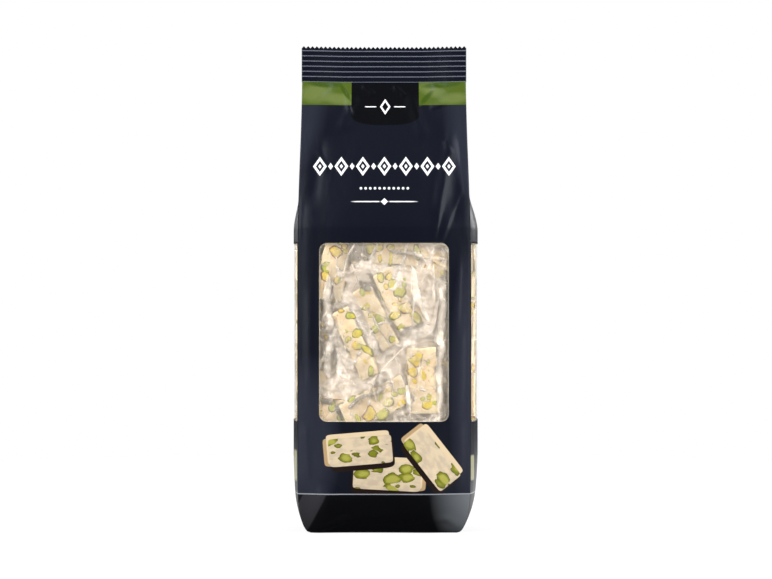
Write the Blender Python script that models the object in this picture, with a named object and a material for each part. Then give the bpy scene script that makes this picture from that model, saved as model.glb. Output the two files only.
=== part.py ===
"""Standing side-gusset bag of small wrapped nougat bars, with a clear window in front and one in each side.

Metres, +Z up, the front faces -Y. The origin is the centre of the bag's footprint on the floor. The printed
bag, its three clear windows and the heap of bars behind them are separate solids. The bag's film is far
thinner than any solid here, so the closed upper part and the base are solid through, and the wall round the
heap is thickened.
"""

import math
import random

import bmesh
import bpy
from mathutils import Matrix, Vector

MM = 0.001

# The whole bag.
BAG_HEIGHT = 241 * MM
SEAL_HALF_WIDTH = 41 * MM
CREASE_HALF_WIDTH = 42.2 * MM  # crease to crease at the filled part is twice this
CREASE_HALF_DEPTH = 20 * MM  # front crease to back crease at the filled part is twice this
FRONT_BULGE = 4.8 * MM
BACK_BULGE = 4.2 * MM
SIDE_SWELL_LEFT = 2.9 * MM
SIDE_SWELL_RIGHT = 4.6 * MM
PANEL_POWER = 2.3  # how flat the middle of a bulging panel is
LIP = 0.2 * MM  # half the thickness of a folded crease
CLOSED_HALF_DEPTH = 0.32 * MM  # where the roof of the bag meets the seal
CLOSING_POWER = 1.3  # how late the panels lean together on the way up
BULGE_FADE_POWER = 1.2  # how soon the bulge is gone on the way up
GUSSET_SLACK = 0.5 * MM  # how much wider than the filled depth half of a side is
AXIS_X = (SIDE_SWELL_LEFT - SIDE_SWELL_RIGHT) / 2  # keeps the footprint's centre at x = 0

# Heights of its zones.
BASE_LINE = 20 * MM  # below it the dark base turns under
FILL_TOP = 150 * MM  # above it the bag closes like a roof
SEAL_FOOT = 223.4 * MM
GUSSET_TURN = (148 * MM, 196 * MM)  # between them the sides change from swelling out to folding in
BASE_TUCK_X = 6.2 * MM
BASE_TUCK_Y = 3.6 * MM
BASE_RIM = 4.5 * MM  # flat rim that the bag stands on
BASE_RECESS = 0.6 * MM
BASE_BULGE_SHARE = 0.35  # of the front's bulge, left at the floor
BASE_BULGE_HEIGHT = 39 * MM  # where the bulge is whole again
BASE_SEAM_SIZE = (62 * MM, 9 * MM, 3 * MM)  # of which only the last 0.6 mm shows

# The pressed seal along the top, with its pinked edge.
SEAL_HALF_THICKNESS = 0.6 * MM
RIB_COUNT = 6
RIB_PITCH = 2.56 * MM
RIB_FIRST = 226.2 * MM
RIB_DEPTH = 0.35 * MM
SEAL_BOW = 3.5 * MM  # the ends of the seal come forward by this
SEAL_BOW_START = 185 * MM
SEAL_STRAIGHT_HALF = 17 * MM
SEAL_COLUMNS = 14
SEAL_OVERLAP = 0.2 * MM  # into what it is joined to or trimmed by
BLADE_REACH = 12 * MM
BLADE_HEIGHT = 4 * MM
TOOTH_COUNT = 38
TOOTH_HEIGHT = 1.1 * MM

# The seam down the middle of the back.
SEAM_HALF_WIDTH = 0.125  # as a share of the panel's half-width
SEAM_STEP = 0.6 * MM
SEAM_EDGE = 0.02

# The clear windows.
WINDOW_BOTTOM = 55 * MM
WINDOW_TOP = 142.5 * MM
WINDOW_HALF_WIDTH = 31.8 * MM
WINDOW_CORNER = 3.8 * MM
SIDE_WINDOW_HALF_DEPTH = 18.6 * MM
SIDE_WINDOW_CORNER = 1.2 * MM
FRONT_CUT = (-40 * MM, -12 * MM)  # span in Y of the front opening's cutter
SIDE_CUT = (34 * MM, 60 * MM)  # span in X of a side opening's cutter
PANE_THICKNESS = 0.9 * MM
PANE_GAP = 0.3 * MM
WALL = 1.5 * MM
HEAP_INSET = 2.0 * MM
CHAMBER_MARGIN = 3 * MM
HEAP_CLEARANCE = 0.6 * MM  # above and below, inside the chamber

# One nougat bar, and the chopped pistachios in its cut faces.
BAR_LENGTH = 34 * MM
BAR_WIDTH = 15 * MM
BAR_THICKNESS = 10 * MM
BAR_EDGE = 0.8 * MM
KERNEL_RADIUS = 2.1 * MM
KERNEL_PROUD = 0.45 * MM
KERNEL_SUNK = 0.55  # half a kernel's depth, as a share of its radius
KERNEL_STRETCH = ((0.65, 1.25), KERNEL_SUNK, (0.9, 1.5))  # across, deep and along, as shares of the radius
KERNEL_LUMP = (0.85, 1.15)
KERNEL_SPREAD = 0.32  # share of the bar's width, each way from its middle
KERNEL_STRAY = 2 * MM  # along the bar, each way
KERNELS_EACH = 4
SEED = 11

# Bars against the front window: across and up in mm, lean to the right in degrees, roll about the bar's own
# length in degrees, how far behind the window in mm, and length as a share of a full bar.
FRONT_BARS = [
    (-24.9, 130.7, 15, 8, 0.3, 1.0),
    (0.5, 139.5, 92, 0, 2.5, 0.95),
    (23.0, 136.5, 87, 10, 4.0, 1.0),
    (28.6, 114.0, 2, -12, 2.0, 1.0),
    (17.5, 122.5, -16, 20, 8.0, 0.9),
    (6.8, 115.1, -26, 14, 0.2, 0.9),
    (-3.2, 106.3, -26, 84, 1.2, 0.95),
    (-14.6, 94.5, -27, 5, 0.2, 1.03),
    (-29.6, 97.0, 1, -10, 2.2, 1.08),
    (20.5, 95.5, 84, -15, 4.5, 0.9),
    (18.8, 75.0, -2, 3, 0.4, 0.95),
    (32.0, 74.0, 1, -20, 3.0, 1.0),
    (4.8, 82.0, -38, 25, 7.0, 1.0),
    (-4.0, 63.5, 64, -6, 0.6, 1.0),
    (-26.5, 76.5, -3, 18, 4.5, 0.9),
    (-25.4, 58.5, 92, 0, 1.5, 0.85),
    (12.0, 57.5, 100, 8, 4.0, 0.9),
]
SIDE_BAR_LEANS = (12, -24, 81, -8)  # from the top down, the same on both sides
SIDE_BAR_SHIFT = 3 * MM  # forwards and backwards by turns
SIDE_BAR_PROUD = 1.5 * MM  # how far past the crease line they lie, in the swell of the side
CORE_INSET = 12 * MM
CORE_MARGIN = -1 * MM  # the core ends this much inside the window's height

# Soft folds in the front panel: two ends as across and up in mm, half-width in mm, height in mm.
FOLD_FADE = 0.25  # share of a fold's length over which each end dies away
FRONT_FOLDS = [
    ((-36.5, 40), (-37.5, 205), 3.2, 0.55),
    ((37.0, 30), (37.5, 150), 3.2, 0.6),
    ((35.5, 206), (24.0, 150), 3.0, 0.8),
    ((39.0, 196), (33.0, 148), 2.8, -0.6),
    ((-31.0, 200), (-36.0, 158), 3.4, -0.6),
    ((-14.0, 219), (-22.0, 196), 3.5, 0.45),
    ((12.0, 220), (21.0, 192), 3.5, 0.45),
    ((-34.0, 1), (-24.0, 19), 2.6, 0.9),
    ((34.0, 1), (27.0, 19), 2.6, 0.8),
    ((-20.0, 6), (28.0, 5), 3.0, -0.7),
]

# Columns round the bag and rows up it.
FRONT_COLUMNS = 32
BACK_COLUMNS = 16
GUSSET_COLUMNS = 8
BASE_ROWS = [0, 0.25, 0.9, 2.0, 3.8, 6.4, 9.6, 13.2, 16.8, 19.4, 20.6]  # mm
FILLED_ROW_STEP = 9 * MM
CLOSING_ROW_STEP = 6 * MM


def clear_scene():
    for obj in list(bpy.data.objects):
        bpy.data.objects.remove(obj)


def clamp(value):
    return min(1.0, max(0.0, value))


def ease(value):
    """0 to 1 with a soft start and end."""
    value = clamp(value)
    return value * value * (3 - 2 * value)


def material(name, colour, roughness, alpha=1.0):
    """A Principled material with one colour, roughness and alpha."""
    made = bpy.data.materials.new(name)
    made.use_nodes = True
    shader = made.node_tree.nodes["Principled BSDF"]
    shader.inputs["Base Color"].default_value = (*colour, 1.0)
    shader.inputs["Roughness"].default_value = roughness
    shader.inputs["Metallic"].default_value = 0.0
    shader.inputs["Alpha"].default_value = alpha
    return made


def object_from(name, mesh_data, finish=None):
    """A linked object holding a bmesh, which is freed."""
    mesh = bpy.data.meshes.new(name)
    mesh_data.to_mesh(mesh)
    mesh_data.free()
    obj = bpy.data.objects.new(name, mesh)
    bpy.context.scene.collection.objects.link(obj)
    if finish:
        mesh.materials.append(finish)
    return obj


def as_helper(obj):
    """Marks an object that only cuts or joins others."""
    obj.hide_render = True
    obj.display_type = "WIRE"
    return obj


def add_boolean(obj, other, operation, solver="EXACT"):
    modifier = obj.modifiers.new(f"{operation.lower()}_{other.name}", "BOOLEAN")
    modifier.operation = operation
    modifier.solver = solver
    modifier.object = other


# The bag's outer form.


def bag_section(z):
    """At height z: crease half-width, crease half-depth, share of the bulge left, fold of the sides."""
    closing = clamp((z - FILL_TOP) / (SEAL_FOOT - FILL_TOP))
    turning_under = clamp(1 - z / BASE_LINE)
    tuck = 1 - math.sqrt(1 - turning_under**2)
    half_width = CREASE_HALF_WIDTH - BASE_TUCK_X * tuck
    half_width -= (CREASE_HALF_WIDTH - SEAL_HALF_WIDTH + LIP) * ease(closing)
    opened = 1 - closing**CLOSING_POWER
    half_depth = CLOSED_HALF_DEPTH + (CREASE_HALF_DEPTH - CLOSED_HALF_DEPTH) * opened - BASE_TUCK_Y * tuck
    filled_out = ease(BASE_BULGE_SHARE + (1 - BASE_BULGE_SHARE) * z / BASE_BULGE_HEIGHT)
    bulge = (1 - closing) ** BULGE_FADE_POWER * (1 - tuck) * filled_out
    folded_in = ease((z - GUSSET_TURN[0]) / (GUSSET_TURN[1] - GUSSET_TURN[0]))
    return half_width, half_depth, bulge, folded_in


def fold_height(x, z):
    """Height of the soft folds at a place on the front panel: bell-shaped ridges that fade at both ends."""
    height = 0.0
    for (x0, z0), (x1, z1), half_width, peak in FRONT_FOLDS:
        start = Vector((x0, z0)) * MM
        along = Vector((x1, z1)) * MM - start
        offset = Vector((x, z)) - start
        share = offset.dot(along) / along.length_squared
        across = (offset - along * share).length / (half_width * MM)
        fade = ease(share / FOLD_FADE) * ease((1 - share) / FOLD_FADE)
        height += peak * MM * fade * math.exp(-across * across)
    return height


def side_offset(t, half_depth, folded_in, swell):
    """How far a side stands out of the crease line, at t from -1 in front to 1 at the back."""
    gusset_half = CREASE_HALF_DEPTH + GUSSET_SLACK
    fold_depth = math.sqrt(max(0.0, gusset_half**2 - half_depth**2))
    bowed = swell * (1 - t * t)
    folded = -fold_depth * (1 - abs(t))
    return bowed * (1 - folded_in) + folded * folded_in


def seal_bow(x, z):
    """How far the seal's ends come forward of its straight middle."""
    beyond = (abs(x) - SEAL_STRAIGHT_HALF) / (SEAL_HALF_WIDTH - SEAL_STRAIGHT_HALF)
    return -SEAL_BOW * ease(beyond) * ease((z - SEAL_BOW_START) / (SEAL_FOOT - SEAL_BOW_START))


def column_shares(count):
    return [2 * k / count - 1 for k in range(count + 1)]


def back_shares():
    """Columns of the back panel, with a close pair at each edge of the seam."""
    edges = [SEAM_HALF_WIDTH, SEAM_HALF_WIDTH + SEAM_EDGE]
    shares = [s for s in column_shares(BACK_COLUMNS) if abs(abs(s) - edges[0]) > 0.03]
    return sorted(shares + edges + [-e for e in edges])


def ring_at(z, inset=0.0):
    """The bag's closed outline at height z, counter-clockwise from above, from the front left crease."""
    half_width, half_depth, bulge, folded_in = bag_section(z)
    half_width -= inset
    half_depth -= inset
    swell_left, swell_right = (s * bulge for s in (SIDE_SWELL_LEFT, SIDE_SWELL_RIGHT))
    ring = []
    for s in column_shares(FRONT_COLUMNS):
        x = s * half_width
        out = half_depth + LIP + FRONT_BULGE * bulge * (1 - abs(s) ** PANEL_POWER)
        ring.append((x, -out - fold_height(x, z) * (1 - s**8)))
    for t in column_shares(GUSSET_COLUMNS):
        x = half_width + side_offset(t, half_depth, folded_in, swell_right)
        ring.append((x, t * (half_depth - LIP)))
    for s in reversed(back_shares()):
        seam = SEAM_STEP * (abs(s) <= SEAM_HALF_WIDTH) * (z > BASE_LINE)
        out = half_depth + LIP + BACK_BULGE * bulge * (1 - abs(s) ** PANEL_POWER)
        ring.append((s * half_width, out + seam))
    for t in reversed(column_shares(GUSSET_COLUMNS)):
        x = -half_width - side_offset(t, half_depth, folded_in, swell_left)
        ring.append((x, t * (half_depth - LIP)))
    return [Vector((x + AXIS_X, y + seal_bow(x, z), z)) for x, y in ring]


def loft(rings):
    """A closed bmesh through rings of the same number of points, with flat ends."""
    made = bmesh.new()
    rows = [[made.verts.new(p) for p in ring] for ring in rings]
    count = len(rows[0])
    for low, high in zip(rows, rows[1:]):
        for k in range(count):
            after = (k + 1) % count
            made.faces.new((low[k], low[after], high[after], high[k]))
    made.faces.new(list(reversed(rows[0])))
    made.faces.new(rows[-1])
    return made


def steps_between(low, high, step):
    count = max(1, round((high - low) / step))
    return [low + (high - low) * k / count for k in range(count + 1)]


def bag_rows():
    rows = [z * MM for z in BASE_ROWS]
    rows += steps_between(BASE_LINE + 2.5 * MM, FILL_TOP, FILLED_ROW_STEP)
    rows += steps_between(FILL_TOP, SEAL_FOOT - 1.5 * MM, CLOSING_ROW_STEP)[1:]
    return rows + [SEAL_FOOT + 1 * MM]


def base_ring(rim, z):
    """The footprint drawn in by the rim's width, at height z."""
    half_width, half_depth, _, _ = bag_section(0)
    share_x, share_y = 1 - rim / half_width, 1 - rim / half_depth
    return [Vector(((p.x - AXIS_X) * share_x + AXIS_X, p.y * share_y, z)) for p in ring_at(0)]


def make_bag(finish):
    """The whole outer form. The middle of its base is pressed up behind a flat rim."""
    rings = [base_ring(BASE_RIM + BASE_RECESS, BASE_RECESS), base_ring(BASE_RIM, 0)]
    return object_from("bag", loft(rings + [ring_at(z) for z in bag_rows()]), finish)


def make_base_seam():
    """The bottom seam, folded flat across the base."""
    made = bmesh.new()
    bmesh.ops.create_cube(made, size=1.0)
    width, depth, height = BASE_SEAM_SIZE
    for vert in made.verts:
        vert.co = Vector((vert.co.x * width + AXIS_X, vert.co.y * depth, (vert.co.z + 0.5) * height))
    return as_helper(object_from("base_seam", made))


# The pressed seal.


def rib_wave(z):
    """0 in a groove and 1 on a rib, in straight flanks."""
    share = (z - RIB_FIRST) / RIB_PITCH + 0.5
    if not 0 <= share <= RIB_COUNT:
        return 0.0
    return 1 - abs(2 * (share % 1.0) - 1)


def seal_rows():
    rows = [SEAL_FOOT - SEAL_OVERLAP]
    rows += [RIB_FIRST + RIB_PITCH * (k / 2 - 0.5) for k in range(2 * RIB_COUNT + 1)]
    return rows + [BAG_HEIGHT + SEAL_OVERLAP]


def make_seal():
    """The pressed plate: its ribs stand out in front where its grooves sink in behind."""
    made = bmesh.new()
    rows = seal_rows()
    columns = []
    for s in column_shares(SEAL_COLUMNS):
        x = s * SEAL_HALF_WIDTH
        front, back = [], []
        for z in rows:
            middle = seal_bow(x, z) - RIB_DEPTH * rib_wave(z)
            front.append(Vector((x + AXIS_X, middle - SEAL_HALF_THICKNESS, z)))
            back.append(Vector((x + AXIS_X, middle + SEAL_HALF_THICKNESS, z)))
        columns.append([made.verts.new(p) for p in front + back[::-1]])
    count = len(columns[0])
    for left, right in zip(columns, columns[1:]):
        for k in range(count):
            after = (k + 1) % count
            made.faces.new((left[k], right[k], right[after], left[after]))
    for end in (columns[0], columns[-1]):
        for k in range(len(rows) - 1):
            made.faces.new((end[k], end[k + 1], end[count - 2 - k], end[count - 1 - k]))
    bmesh.ops.recalc_face_normals(made, faces=made.faces)
    return as_helper(object_from("seal", made))


def prism(outline, axis, low, high):
    """A closed bmesh: an outline in the other two axes, carried along one axis (0 for X, 1 for Y)."""
    made = bmesh.new()

    def place(point, at):
        return Vector((at, point[0], point[1])) if axis == 0 else Vector((point[0], at, point[1]))

    face = made.faces.new([made.verts.new(place(p, low)) for p in outline])
    grown = bmesh.ops.extrude_face_region(made, geom=[face])
    moved = [v for v in grown["geom"] if isinstance(v, bmesh.types.BMVert)]
    shift = Vector((high - low, 0, 0)) if axis == 0 else Vector((0, high - low, 0))
    bmesh.ops.translate(made, verts=moved, vec=shift)
    bmesh.ops.recalc_face_normals(made, faces=made.faces)
    return made


def make_pinking_cutter():
    """What the pinking blade takes off: everything above a zigzag."""
    pitch = 2 * SEAL_HALF_WIDTH / TOOTH_COUNT
    left = AXIS_X - SEAL_HALF_WIDTH
    outline = [(left + 0.5 * k * pitch, BAG_HEIGHT - TOOTH_HEIGHT * ((k + 1) % 2))
               for k in range(-1, 2 * TOOTH_COUNT + 2)]
    blade_top = BAG_HEIGHT + BLADE_HEIGHT
    outline += [(outline[-1][0], blade_top), (outline[0][0], blade_top)]
    made = prism(outline, 1, -BLADE_REACH, BLADE_REACH)
    return as_helper(object_from("pinking_blade", made))


# The clear windows and the space behind them.


def rounded_rectangle(half_width, bottom, top, radius, steps=4):
    """Points round an upright rectangle, with an arc at each corner."""
    outline = []
    corners = [(1, top, 0), (-1, top, 90), (-1, bottom, 180), (1, bottom, 270)]
    for side, level, start in corners:
        centre = (side * (half_width - radius), level + (radius if level == bottom else -radius))
        for k in range(steps + 1):
            angle = math.radians(start + 90 * k / steps)
            outline.append((centre[0] + radius * math.cos(angle), centre[1] + radius * math.sin(angle)))
    return outline


def front_window_prism(name, shrink):
    outline = rounded_rectangle(WINDOW_HALF_WIDTH - shrink, WINDOW_BOTTOM + shrink, WINDOW_TOP - shrink,
                                WINDOW_CORNER - shrink)
    outline = [(x + AXIS_X, z) for x, z in outline]
    return as_helper(object_from(name, prism(outline, 1, *FRONT_CUT)))


def side_window_prism(name, side, shrink):
    outline = rounded_rectangle(SIDE_WINDOW_HALF_DEPTH - shrink, WINDOW_BOTTOM + shrink,
                                WINDOW_TOP - shrink, SIDE_WINDOW_CORNER, steps=2)
    return as_helper(object_from(name, prism(outline, 0, side * SIDE_CUT[0], side * SIDE_CUT[1])))


def window_rows(margin):
    return steps_between(WINDOW_BOTTOM - margin, WINDOW_TOP + margin, FILLED_ROW_STEP)


def make_chamber():
    """The space inside the bag's wall that the heap lies in."""
    return as_helper(object_from("chamber", loft([ring_at(z, WALL) for z in window_rows(CHAMBER_MARGIN)])))


def pane_between(name, first, last, clear, cutter):
    """A clear window: the bag's wall between two ring points, thinned, and trimmed by a cutter."""
    rings = []
    for z in window_rows(CHAMBER_MARGIN):
        outer = ring_at(z)[first:last + 1]
        inner = ring_at(z, PANE_THICKNESS)[first:last + 1]
        rings.append(outer + inner[::-1])
    pane = object_from(name, loft(rings), clear)
    add_boolean(pane, cutter, "INTERSECT")
    return pane


def make_panes(clear):
    side_start = FRONT_COLUMNS + 1
    left_start = side_start + GUSSET_COLUMNS + 1 + len(back_shares())
    pane_between("front_window", 0, FRONT_COLUMNS, clear, front_window_prism("front_trim", PANE_GAP))
    pane_between("right_window", side_start, side_start + GUSSET_COLUMNS, clear,
                 side_window_prism("right_trim", 1, PANE_GAP))
    pane_between("left_window", left_start, left_start + GUSSET_COLUMNS, clear,
                 side_window_prism("left_trim", -1, PANE_GAP))


# The nougat bars.


def bar_mesh(length):
    """A bar standing on end, its width across X, with its edges taken off."""
    made = bmesh.new()
    bmesh.ops.create_cube(made, size=1.0)
    for vert in made.verts:
        vert.co = Vector((vert.co.x * BAR_WIDTH, vert.co.y * BAR_THICKNESS, vert.co.z * length))
    bmesh.ops.bevel(made, geom=made.edges[:], offset=BAR_EDGE, segments=1, affect="EDGES")
    return made


def kernel_mesh(chance):
    """A chopped pistachio: a lumpy flattened ball of twenty faces."""
    made = bmesh.new()
    bmesh.ops.create_icosphere(made, subdivisions=1, radius=1.0)
    across, deep, along = KERNEL_STRETCH
    stretch = Vector((chance.uniform(*across), deep, chance.uniform(*along))) * KERNEL_RADIUS
    for vert in made.verts:
        lump = chance.uniform(*KERNEL_LUMP)
        vert.co = Vector(a * b for a, b in zip(vert.co, stretch)) * lump
    return made


def placed(x, y, z, lean, roll, turn=0.0):
    """A place in the bag: rolled about the bar's length, leaned to its right, turned to face a side."""
    rolled = Matrix.Rotation(roll, 4, "Z")
    leaned = Matrix.Rotation(lean, 4, "Y")
    turned = Matrix.Rotation(turn, 4, "Z")
    return Matrix.Translation((x, y, z)) @ turned @ leaned @ rolled


def front_bar_places():
    """Where each bar against the front window lies, and how long it is."""
    for x, z, lean, roll, behind, share in FRONT_BARS:
        half_width, half_depth, bulge, _ = bag_section(z * MM)
        out = half_depth + LIP + FRONT_BULGE * bulge * (1 - abs(x * MM / half_width) ** PANEL_POWER)
        shown_half = (BAR_THICKNESS * abs(math.cos(math.radians(roll)))
                      + BAR_WIDTH * abs(math.sin(math.radians(roll)))) / 2
        y = -out + HEAP_INSET + behind * MM + shown_half
        yield placed(x * MM + AXIS_X, y, z * MM, math.radians(lean), math.radians(roll)), BAR_LENGTH * share


def side_bar_places():
    """Bars against the two side windows, one above another at each side."""
    spacing = (WINDOW_TOP - WINDOW_BOTTOM) / len(SIDE_BAR_LEANS)
    reach = CREASE_HALF_WIDTH + SIDE_BAR_PROUD - HEAP_INSET - BAR_THICKNESS / 2
    for side in (-1, 1):
        for k, lean in enumerate(SIDE_BAR_LEANS):
            z = WINDOW_TOP - spacing * (k + 0.5)
            y = SIDE_BAR_SHIFT * (side if k % 2 else -side)
            turn = math.radians(90 * side)
            yield placed(side * reach + AXIS_X, y, z, math.radians(lean * side), 0.0, turn), BAR_LENGTH


def kernel_places(chance, place, length):
    """Kernels in the face of a bar that lies towards its window."""
    for k in range(KERNELS_EACH):
        along = length * ((k + 0.5) / KERNELS_EACH - 0.5) + chance.uniform(-KERNEL_STRAY, KERNEL_STRAY)
        across = chance.uniform(-KERNEL_SPREAD, KERNEL_SPREAD) * BAR_WIDTH
        depth = -BAR_THICKNESS / 2 + KERNEL_SUNK * KERNEL_RADIUS - KERNEL_PROUD
        spin = Matrix.Rotation(chance.uniform(0, math.pi), 4, "Y")
        yield place @ Matrix.Translation((across, depth, along)) @ spin


def make_heap(finish):
    """The bars that show, fused to one core and trimmed to the space inside the bag."""
    chance = random.Random(SEED)
    rows = window_rows(CHAMBER_MARGIN - HEAP_CLEARANCE)
    core = loft([ring_at(z, CORE_INSET) for z in window_rows(CORE_MARGIN)])
    heap = object_from("nougat_heap", core, finish)
    loose = bpy.data.collections.new("loose_bars")
    bpy.context.scene.collection.children.link(loose)
    made = []
    for place, length in list(front_bar_places()) + list(side_bar_places()):
        bar = object_from("loose_bar", bar_mesh(length))
        bar.data.transform(place)
        made.append(bar)
        for kernel_place in kernel_places(chance, place, length):
            kernel = object_from("loose_kernel", kernel_mesh(chance))
            kernel.data.transform(kernel_place)
            made.append(kernel)
    for obj in made:
        bpy.context.scene.collection.objects.unlink(obj)
        loose.objects.link(obj)
    modifier = heap.modifiers.new("fuse_bars", "BOOLEAN")
    modifier.operation = "UNION"
    modifier.solver = "MANIFOLD"  # EXACT leaves open edges among so many crossing pieces
    modifier.operand_type = "COLLECTION"
    modifier.collection = loose
    room = as_helper(object_from("heap_room", loft([ring_at(z, HEAP_INSET) for z in rows])))
    add_boolean(heap, room, "INTERSECT", solver="MANIFOLD")
    apply_modifiers(heap)
    keep_outer_shell(heap.data)
    for obj in made + [room]:
        bpy.data.objects.remove(obj)
    bpy.data.collections.remove(loose)
    return heap


def apply_modifiers(obj):
    """Replaces the object's mesh by what its modifiers make of it."""
    graph = bpy.context.evaluated_depsgraph_get()
    evaluated = obj.evaluated_get(graph)
    mesh = bpy.data.meshes.new_from_object(evaluated)
    obj.modifiers.clear()
    obj.data = mesh


def keep_outer_shell(mesh):
    """Fills the hollows that fusing has sealed and drops loose scraps: only the largest shell stays."""
    made = bmesh.new()
    made.from_mesh(mesh)
    waiting = set(made.faces)
    shells = []
    while waiting:
        shell = set()
        reached = [next(iter(waiting))]
        while reached:
            face = reached.pop()
            if face in shell:
                continue
            shell.add(face)
            reached += [near for edge in face.edges for near in edge.link_faces if near not in shell]
        waiting -= shell
        shells.append(shell)
    largest = max(shells, key=len)
    bmesh.ops.delete(made, geom=[face for face in made.faces if face not in largest], context="FACES")
    made.to_mesh(mesh)
    made.free()


def main():
    clear_scene()
    printed = material("printed_film", (0.012, 0.015, 0.024), 0.32)
    clear = material("clear_film", (0.93, 0.92, 0.9), 0.12, alpha=0.3)
    nougat = material("nougat", (0.83, 0.72, 0.54), 0.6)
    bag = make_bag(printed)
    add_boolean(bag, make_base_seam(), "UNION")
    add_boolean(bag, make_seal(), "UNION")
    add_boolean(bag, make_pinking_cutter(), "DIFFERENCE")
    add_boolean(bag, make_chamber(), "DIFFERENCE")
    add_boolean(bag, front_window_prism("front_opening", 0.0), "DIFFERENCE")
    for name, side in (("right_opening", 1), ("left_opening", -1)):
        add_boolean(bag, side_window_prism(name, side, 0.0), "DIFFERENCE")
    make_panes(clear)
    make_heap(nougat)


main()
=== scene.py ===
import math

import bmesh
import bpy
import mathutils
import numpy as np
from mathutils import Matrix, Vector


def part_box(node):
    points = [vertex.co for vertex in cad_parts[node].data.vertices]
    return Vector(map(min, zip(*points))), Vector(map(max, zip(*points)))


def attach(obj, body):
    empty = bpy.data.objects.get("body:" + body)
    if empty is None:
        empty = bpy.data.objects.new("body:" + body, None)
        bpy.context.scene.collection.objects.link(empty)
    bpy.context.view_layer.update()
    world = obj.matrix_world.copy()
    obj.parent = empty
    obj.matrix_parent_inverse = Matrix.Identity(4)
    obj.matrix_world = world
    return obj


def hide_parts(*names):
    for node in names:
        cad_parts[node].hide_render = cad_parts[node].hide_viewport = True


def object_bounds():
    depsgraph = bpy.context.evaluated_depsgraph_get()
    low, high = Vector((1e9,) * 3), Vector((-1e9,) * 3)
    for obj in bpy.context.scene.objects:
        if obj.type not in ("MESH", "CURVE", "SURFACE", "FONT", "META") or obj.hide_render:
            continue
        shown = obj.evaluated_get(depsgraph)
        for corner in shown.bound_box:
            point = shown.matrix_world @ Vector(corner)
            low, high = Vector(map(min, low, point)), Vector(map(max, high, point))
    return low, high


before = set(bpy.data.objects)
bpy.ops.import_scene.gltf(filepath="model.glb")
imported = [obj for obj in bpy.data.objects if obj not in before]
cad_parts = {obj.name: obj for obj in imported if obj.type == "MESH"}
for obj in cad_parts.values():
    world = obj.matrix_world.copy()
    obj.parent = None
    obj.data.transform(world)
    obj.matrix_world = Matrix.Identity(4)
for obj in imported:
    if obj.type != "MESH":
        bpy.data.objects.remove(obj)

mm = 0.001
cadLow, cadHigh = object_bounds()
bpy.context.scene.view_settings.view_transform = "Standard"


def boxInMm(node):  # lowest and highest corner of a solid, in mm
    return [np.array(corner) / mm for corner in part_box(node)]


bagHigh = boxInMm("bag")[1]
paneLow, paneHigh = boxInMm("front_window")
sidePaneLow, sidePaneHigh = boxInMm("right_window")


def colour(red, green, blue):  # 0 to 255 as a screen shows it, to the linear value that a shader wants
    shown = np.array([red, green, blue]) / 255
    linear = np.where(shown <= 0.04045, shown / 12.92, ((shown + 0.055) / 1.055) ** 2.4)
    return (*(float(part) for part in linear), 1.0)


# The bag's outer form, the same as the solids have.
bagForm = {
    "height": bagHigh[2], "sealFoot": 223.4, "sealHalfWidth": 41.0,
    "halfWidth": 42.2, "halfDepth": 20.0,  # crease to middle, at the filled part
    "closedHalfDepth": 0.32, "closingPower": 1.3, "fillTop": 150.0, "lip": 0.2,
    "frontBulge": 4.8, "backBulge": 4.2, "swellLeft": 2.9, "swellRight": 4.6,
    "panelPower": 2.3, "bulgeFadePower": 1.2,
    "baseLine": 20.0, "baseTuckX": 6.2, "baseTuckY": 3.6, "baseBulgeShare": 0.35, "baseBulgeHeight": 39.0,
    "gussetTurn": (148.0, 196.0), "gussetSlack": 0.5,
    "sealBow": 3.5, "sealBowStart": 185.0, "sealStraightHalf": 17.0,
    "seamHalfWidth": 0.125,  # share of the back panel
    "seamStep": 0.6,
}
axisX = (bagForm["swellLeft"] - bagForm["swellRight"]) / 2

# The windows as middle, half size and corner; a solid pane stops short of its opening by its seat.
windowForm = {"seat": 0.3, "corner": 3.8, "sideCorner": 1.2}
windowLow, windowHigh = paneLow[2] - windowForm["seat"], paneHigh[2] + windowForm["seat"]
windowMiddle, windowHalf = (0.0, (windowLow + windowHigh) / 2), (windowHigh - windowLow) / 2
frontHalf = (paneHigh[0] - paneLow[0]) / 2 + windowForm["seat"]
sideHalf = (sidePaneHigh[1] - sidePaneLow[1]) / 2 + windowForm["seat"]
frontWindow = (windowMiddle, (frontHalf, windowHalf), windowForm["corner"])
sideWindow = (windowMiddle, (sideHalf, windowHalf), windowForm["sideCorner"])


def ease(share):  # 3s^2 - 2s^3, held to 0 and 1 outside
    share = np.clip(share, 0, 1)
    return share * share * (3 - 2 * share)


# At height z: half-width and half-depth at the creases, share of the bulge left, and how far the sides fold
# in. Below the base line a quarter ellipse draws the outline in. Above the fill the depth falls to nothing at
# the seal.
def bagSection(z):
    form = bagForm
    closing = np.clip((z - form["fillTop"]) / (form["sealFoot"] - form["fillTop"]), 0, 1)
    tuck = 1 - np.sqrt(1 - np.clip(1 - z / form["baseLine"], 0, 1) ** 2)
    halfWidth = form["halfWidth"] - form["baseTuckX"] * tuck
    halfWidth -= (form["halfWidth"] - form["sealHalfWidth"] + form["lip"]) * ease(closing)
    opened = 1 - closing ** form["closingPower"]
    halfDepth = form["closedHalfDepth"] + (form["halfDepth"] - form["closedHalfDepth"]) * opened
    halfDepth -= form["baseTuckY"] * tuck
    filledOut = ease(form["baseBulgeShare"] + (1 - form["baseBulgeShare"]) * z / form["baseBulgeHeight"])
    bulge = (1 - closing) ** form["bulgeFadePower"] * (1 - tuck) * filledOut
    foldedIn = ease((z - form["gussetTurn"][0]) / (form["gussetTurn"][1] - form["gussetTurn"][0]))
    return halfWidth, halfDepth, bulge, foldedIn


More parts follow.
